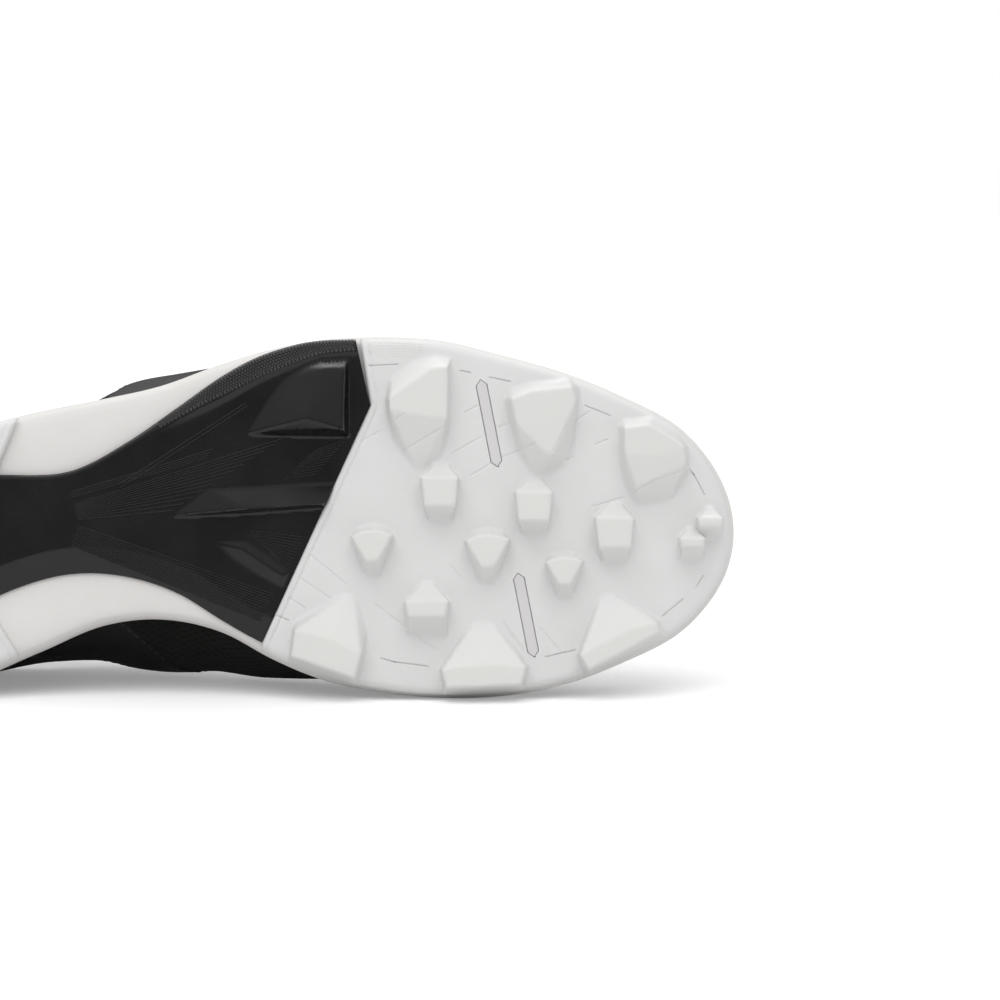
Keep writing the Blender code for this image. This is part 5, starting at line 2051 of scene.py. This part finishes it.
def eyelet_tree():
    """Sets a round ring on every point of a mesh, square to the point's way attribute."""
    tree, given, result = geometry_tree("eyelet_rings", {"Ring Radius": 0.003, "Wire Radius": 0.0007})
    nodes, links = tree.nodes, tree.links
    circles = []
    for socket, count in (("Ring Radius", RING_SIDES), ("Wire Radius", WIRE_SIDES)):
        circle = nodes.new("GeometryNodeCurvePrimitiveCircle")
        circle.inputs["Resolution"].default_value = count
        links.new(given.outputs[socket], circle.inputs["Radius"])
        circles.append(circle)
    ring = nodes.new("GeometryNodeCurveToMesh")
    links.new(circles[0].outputs["Curve"], ring.inputs["Curve"])
    links.new(circles[1].outputs["Curve"], ring.inputs["Profile Curve"])
    return close_tree(tree, given, result, stand_on_points(tree, given, ring.outputs["Mesh"]))


eyelet_place = np.concatenate(throat_places(np.array(EYELETS, float)))
eyelet_height = np.full(len(eyelet_place), 1 - EYELET_EDGE)
eyelets = grown_piece(
    "eyelet_rings",
    point_mesh(
        "eyelet_points",
        below(eyelet_place, eyelet_height, -OVERLAY_LIFT - EYELET_PROUD),
        way=upper_normal(eyelet_place, eyelet_height),
    ),
    eyelet_tree(),
    {"Ring Radius": EYELET_RADIUS / 1000, "Wire Radius": EYELET_WIRE / 1000},
    black_rubber,
)
attach(eyelets, "black_rubber")


# Lace
# A flat woven lace laid criss-cross over the tongue, from a bar at the front up to the top eyelets, where
# its ends go in. It narrows and turns down into each eyelet.

LACE_WIDTH, LACE_THICK = 6.0, 1.4
LACE_CLEAR, LACE_OVER = 0.8, 0.75
LACE_ALONG, LACE_ROUND = 64, 16
# Height over an eyelet at which a run turns down, and how far down it goes
LACE_RIM, LACE_DIVE = 1.1, 2.2
# A run goes from column to column of the throat. Over the tongue it faces this way, with a share of its turn.
LACE_COLUMNS, LACE_FACE, LACE_TURN = 9, (0.35, 0, 0.9), 0.2
# Where a run turns down more steeply than this sine allows, its sides keep the way they had before
LACE_FLAT = 0.75
# Beside an eyelet a run is narrower and thicker by these shares, and it spreads out over a short way
LACE_NARROWED, LACE_BUNCHED = 0.45, 0.35
SPREAD_FROM, SPREAD_OVER = 2.0, 6.0
# Powers below one make the round section squarer
SQUARE_ACROSS, SQUARE_OVER = 0.6, 0.8

lace_cloth = cloth_material(
    "lace_cloth",
    (0.012, 0.012, 0.012),
    (0.026, 0.026, 0.026),
    0.8,
    {"Thread Pitch": 1.3, "Pore Pitch": 1.3, "Pore Depth": 0.2, "Fuzz": 0.3},
    0.22,
)


def lace_rings(start, end, lift):
    """Rings of one run of lace from the medial eyelet at one station to the lateral one at another."""
    column = np.arange(LACE_COLUMNS)
    station = start + (end - start) * column / (LACE_COLUMNS - 1)
    rise = LACE_CLEAR + LACE_THICK / 2
    path = throat_rows(station, -rise, EYELET_EDGE)[column, column]
    places = (throat_places(np.array([start]))[0], throat_places(np.array([end]))[1])
    outs = [upper_normal(place, np.array([1 - EYELET_EDGE]))[0] for place in places]
    ends = [upper_points(place, np.array([1 - EYELET_EDGE]))[0] for place in places]
    face = np.linspace(0, 1, LACE_COLUMNS)[:, None]
    out = outs[0] * (1 - face) + outs[1] * face
    out[2:-2] = out[2:-2] * LACE_TURN + LACE_FACE
    out = unit(out)
    path = path + (lift * np.sin(math.pi * face) ** 2) * out
    path[0], path[-1] = (ends[i] + LACE_RIM * outs[i] for i in (0, 1))
    dives = [ends[i] - LACE_DIVE * outs[i] for i in (0, 1)]
    path = np.concatenate([dives[:1], path, dives[1:]])
    out = np.concatenate([out[:1], out, out[-1:]])

    walked = run_lengths(path, 0)
    at = walked[-1] * eased(LACE_ALONG)
    centre, out = smooth(walked, path, at), smooth(walked, out, at)
    along = np.gradient(centre, axis=0)
    along = unit(along)
    middle = LACE_ALONG // 2
    aside = np.cross(along, out)
    flat = np.linalg.norm(aside, axis=1) > LACE_FLAT
    aside[~flat & (at < at[middle])] = aside[flat][0]
    aside[~flat & (at >= at[middle])] = aside[flat][-1]
    aside -= along * (aside * along).sum(1, keepdims=True)
    aside = unit(aside)
    up = np.cross(aside, along)

    reach = np.minimum(at, walked[-1] - at)
    bunched = 1 - np.clip((reach - SPREAD_FROM) / SPREAD_OVER, 0, 1)
    wide = LACE_WIDTH / 2 * (1 - LACE_NARROWED * bunched)
    thick = LACE_THICK / 2 * (1 + LACE_BUNCHED * bunched)
    turn = np.linspace(0, 2 * math.pi, LACE_ROUND, endpoint=False)
    across = np.sign(np.cos(turn)) * np.abs(np.cos(turn)) ** SQUARE_ACROSS
    over = np.sign(np.sin(turn)) * np.abs(np.sin(turn)) ** SQUARE_OVER
    return (
        centre[:, None]
        + (wide[:, None] * across)[..., None] * aside[:, None]
        + (thick[:, None] * over)[..., None] * up[:, None]
    )


lace_runs = [(EYELETS[0] + 1, EYELETS[0] + 1, 0.0)]
for low, high in zip(EYELETS, EYELETS[1:]):
    lace_runs += [(low, high, LACE_OVER), (high, low, -LACE_OVER)]
for number, (start, end, lift) in enumerate(lace_runs):
    run = tube_piece(f"lace_run_{number:02d}", lace_rings(start, end, lift), lace_cloth)
    attach(run, "black_textile", *(["lace"] if number == 0 else []))


# Stage
# A pale floor that runs out of sight, soft light from above and a camera square to the sole, a little
# above it.

FLOOR = 9.0
PALE = (0.93, 0.93, 0.93)
PALE_BOUNCE = (0.86, 0.86, 0.86)
PALE_GLOW = 0.24
# Strengths of the light from around: the way it comes from, from low to high, and the strengths there
Ramp = namedtuple("Ramp", "low high strength_low strength_high")
ROOM_FADE = Ramp(-0.3, 0.3, 0.535, 0.765)
ROOM_GLEAM = Ramp(0.16, 0.5, 0.13, 0.48)
CEILING = Ramp(0.55, 0.85, 0.0, 1.0)
CEILING_BEHIND = Ramp(-0.05, 0.3, 0.0, 3.6)
SKY_SPREAD, SKY_STRENGTH, SKY_WAY = 60.0, 1.35, (0.05, 0.7, -1.0)
CAMERA_AIM = (226.2, -5.4, 8.0)
CAMERA_AWAY = 1.2
CAMERA_ELEVATION = 5.0
FRAME_WIDTH, SENSOR_WIDTH = 0.3025, 36.0


def studio_floor():
    mesh = bpy.data.meshes.new("floor")
    corners = [(x * FLOOR, y * FLOOR, 0) for x, y in ((-1, -1), (1, -1), (1, 1), (-1, 1))]
    mesh.from_pydata(corners, [], [(0, 1, 2, 3)])
    material, nodes, links, shader = new_material("pale_floor")
    shader.inputs["Roughness"].default_value = 0.7
    shader.inputs["Emission Color"].default_value = (1, 1, 1, 1)
    tone = colour_mix(nodes, A=PALE_BOUNCE, B=PALE)
    seen = nodes.new("ShaderNodeLightPath").outputs["Is Camera Ray"]
    glow = nodes.new("ShaderNodeMath")
    glow.operation = "MULTIPLY"
    glow.inputs[1].default_value = PALE_GLOW
    links.new(seen, glow.inputs[0])
    links.new(glow.outputs["Value"], shader.inputs["Emission Strength"])
    links.new(seen, tone.inputs["Factor"])
    links.new(tone.outputs["Result"], shader.inputs["Base Color"])
    mesh.materials.append(material)
    floor = link_object("floor", mesh)


def studio_light():
    """A bright backdrop behind the shoe, a dimmer room on the other side, and a wide soft light overhead.

    Reflections show a dark room under a bright ceiling."""
    world = bpy.data.worlds.new("studio")
    bpy.context.scene.world = world
    world.use_nodes = True
    nodes, links = world.node_tree.nodes, world.node_tree.links
    way = nodes.new("ShaderNodeTexCoord")
    split = nodes.new("ShaderNodeSeparateXYZ")
    links.new(way.outputs["Generated"], split.inputs["Vector"])

    def strength(axis, ramp, interpolation):
        node = nodes.new("ShaderNodeMapRange")
        node.interpolation_type = interpolation
        for socket, value in zip(("From Min", "From Max", "To Min", "To Max"), ramp):
            node.inputs[socket].default_value = value
        links.new(split.outputs[axis], node.inputs["Value"])
        return node.outputs["Result"]

    ceiling = nodes.new("ShaderNodeMath")
    ceiling.operation = "MULTIPLY_ADD"
    links.new(strength("Z", CEILING, "LINEAR"), ceiling.inputs[0])
    links.new(strength("Y", CEILING_BEHIND, "LINEAR"), ceiling.inputs[1])
    links.new(strength("Z", ROOM_GLEAM, "SMOOTHSTEP"), ceiling.inputs[2])
    ray = nodes.new("ShaderNodeLightPath")
    either = nodes.new("ShaderNodeMix")
    backdrop = nodes.new("ShaderNodeMix")
    backdrop.inputs["B"].default_value = 1.0
    links.new(ray.outputs["Is Glossy Ray"], either.inputs["Factor"])
    links.new(ray.outputs["Is Camera Ray"], backdrop.inputs["Factor"])
    links.new(either.outputs["Result"], backdrop.inputs["A"])
    links.new(strength("Y", ROOM_FADE, "SMOOTHSTEP"), either.inputs["A"])
    links.new(ceiling.outputs["Value"], either.inputs["B"])
    links.new(backdrop.outputs["Result"], nodes["Background"].inputs["Strength"])
    nodes["Background"].inputs["Color"].default_value = (1, 1, 1, 1)

    light = bpy.data.lights.new("soft_sky", "SUN")
    light.angle = math.radians(SKY_SPREAD)
    light.energy = SKY_STRENGTH
    lamp = link_object("soft_sky", light)
    lamp.visible_glossy = False
    lamp.rotation_euler = Vector(SKY_WAY).to_track_quat("-Z", "Y").to_euler()


def studio_camera():
    camera = bpy.data.cameras.new("camera")
    camera.sensor_width = SENSOR_WIDTH
    camera.lens = camera.sensor_width * CAMERA_AWAY / FRAME_WIDTH
    eye = link_object("camera", camera)
    rise = math.radians(CAMERA_ELEVATION)
    eye.location = Vector(lay_down(CAMERA_AIM)) + CAMERA_AWAY * Vector((0, -math.cos(rise), math.sin(rise)))
    eye.rotation_euler = (math.pi / 2 - rise, 0, 0)
    bpy.context.scene.camera = eye


studio_floor()
studio_light()
studio_camera()
bpy.context.scene.view_settings.view_transform = "Standard"
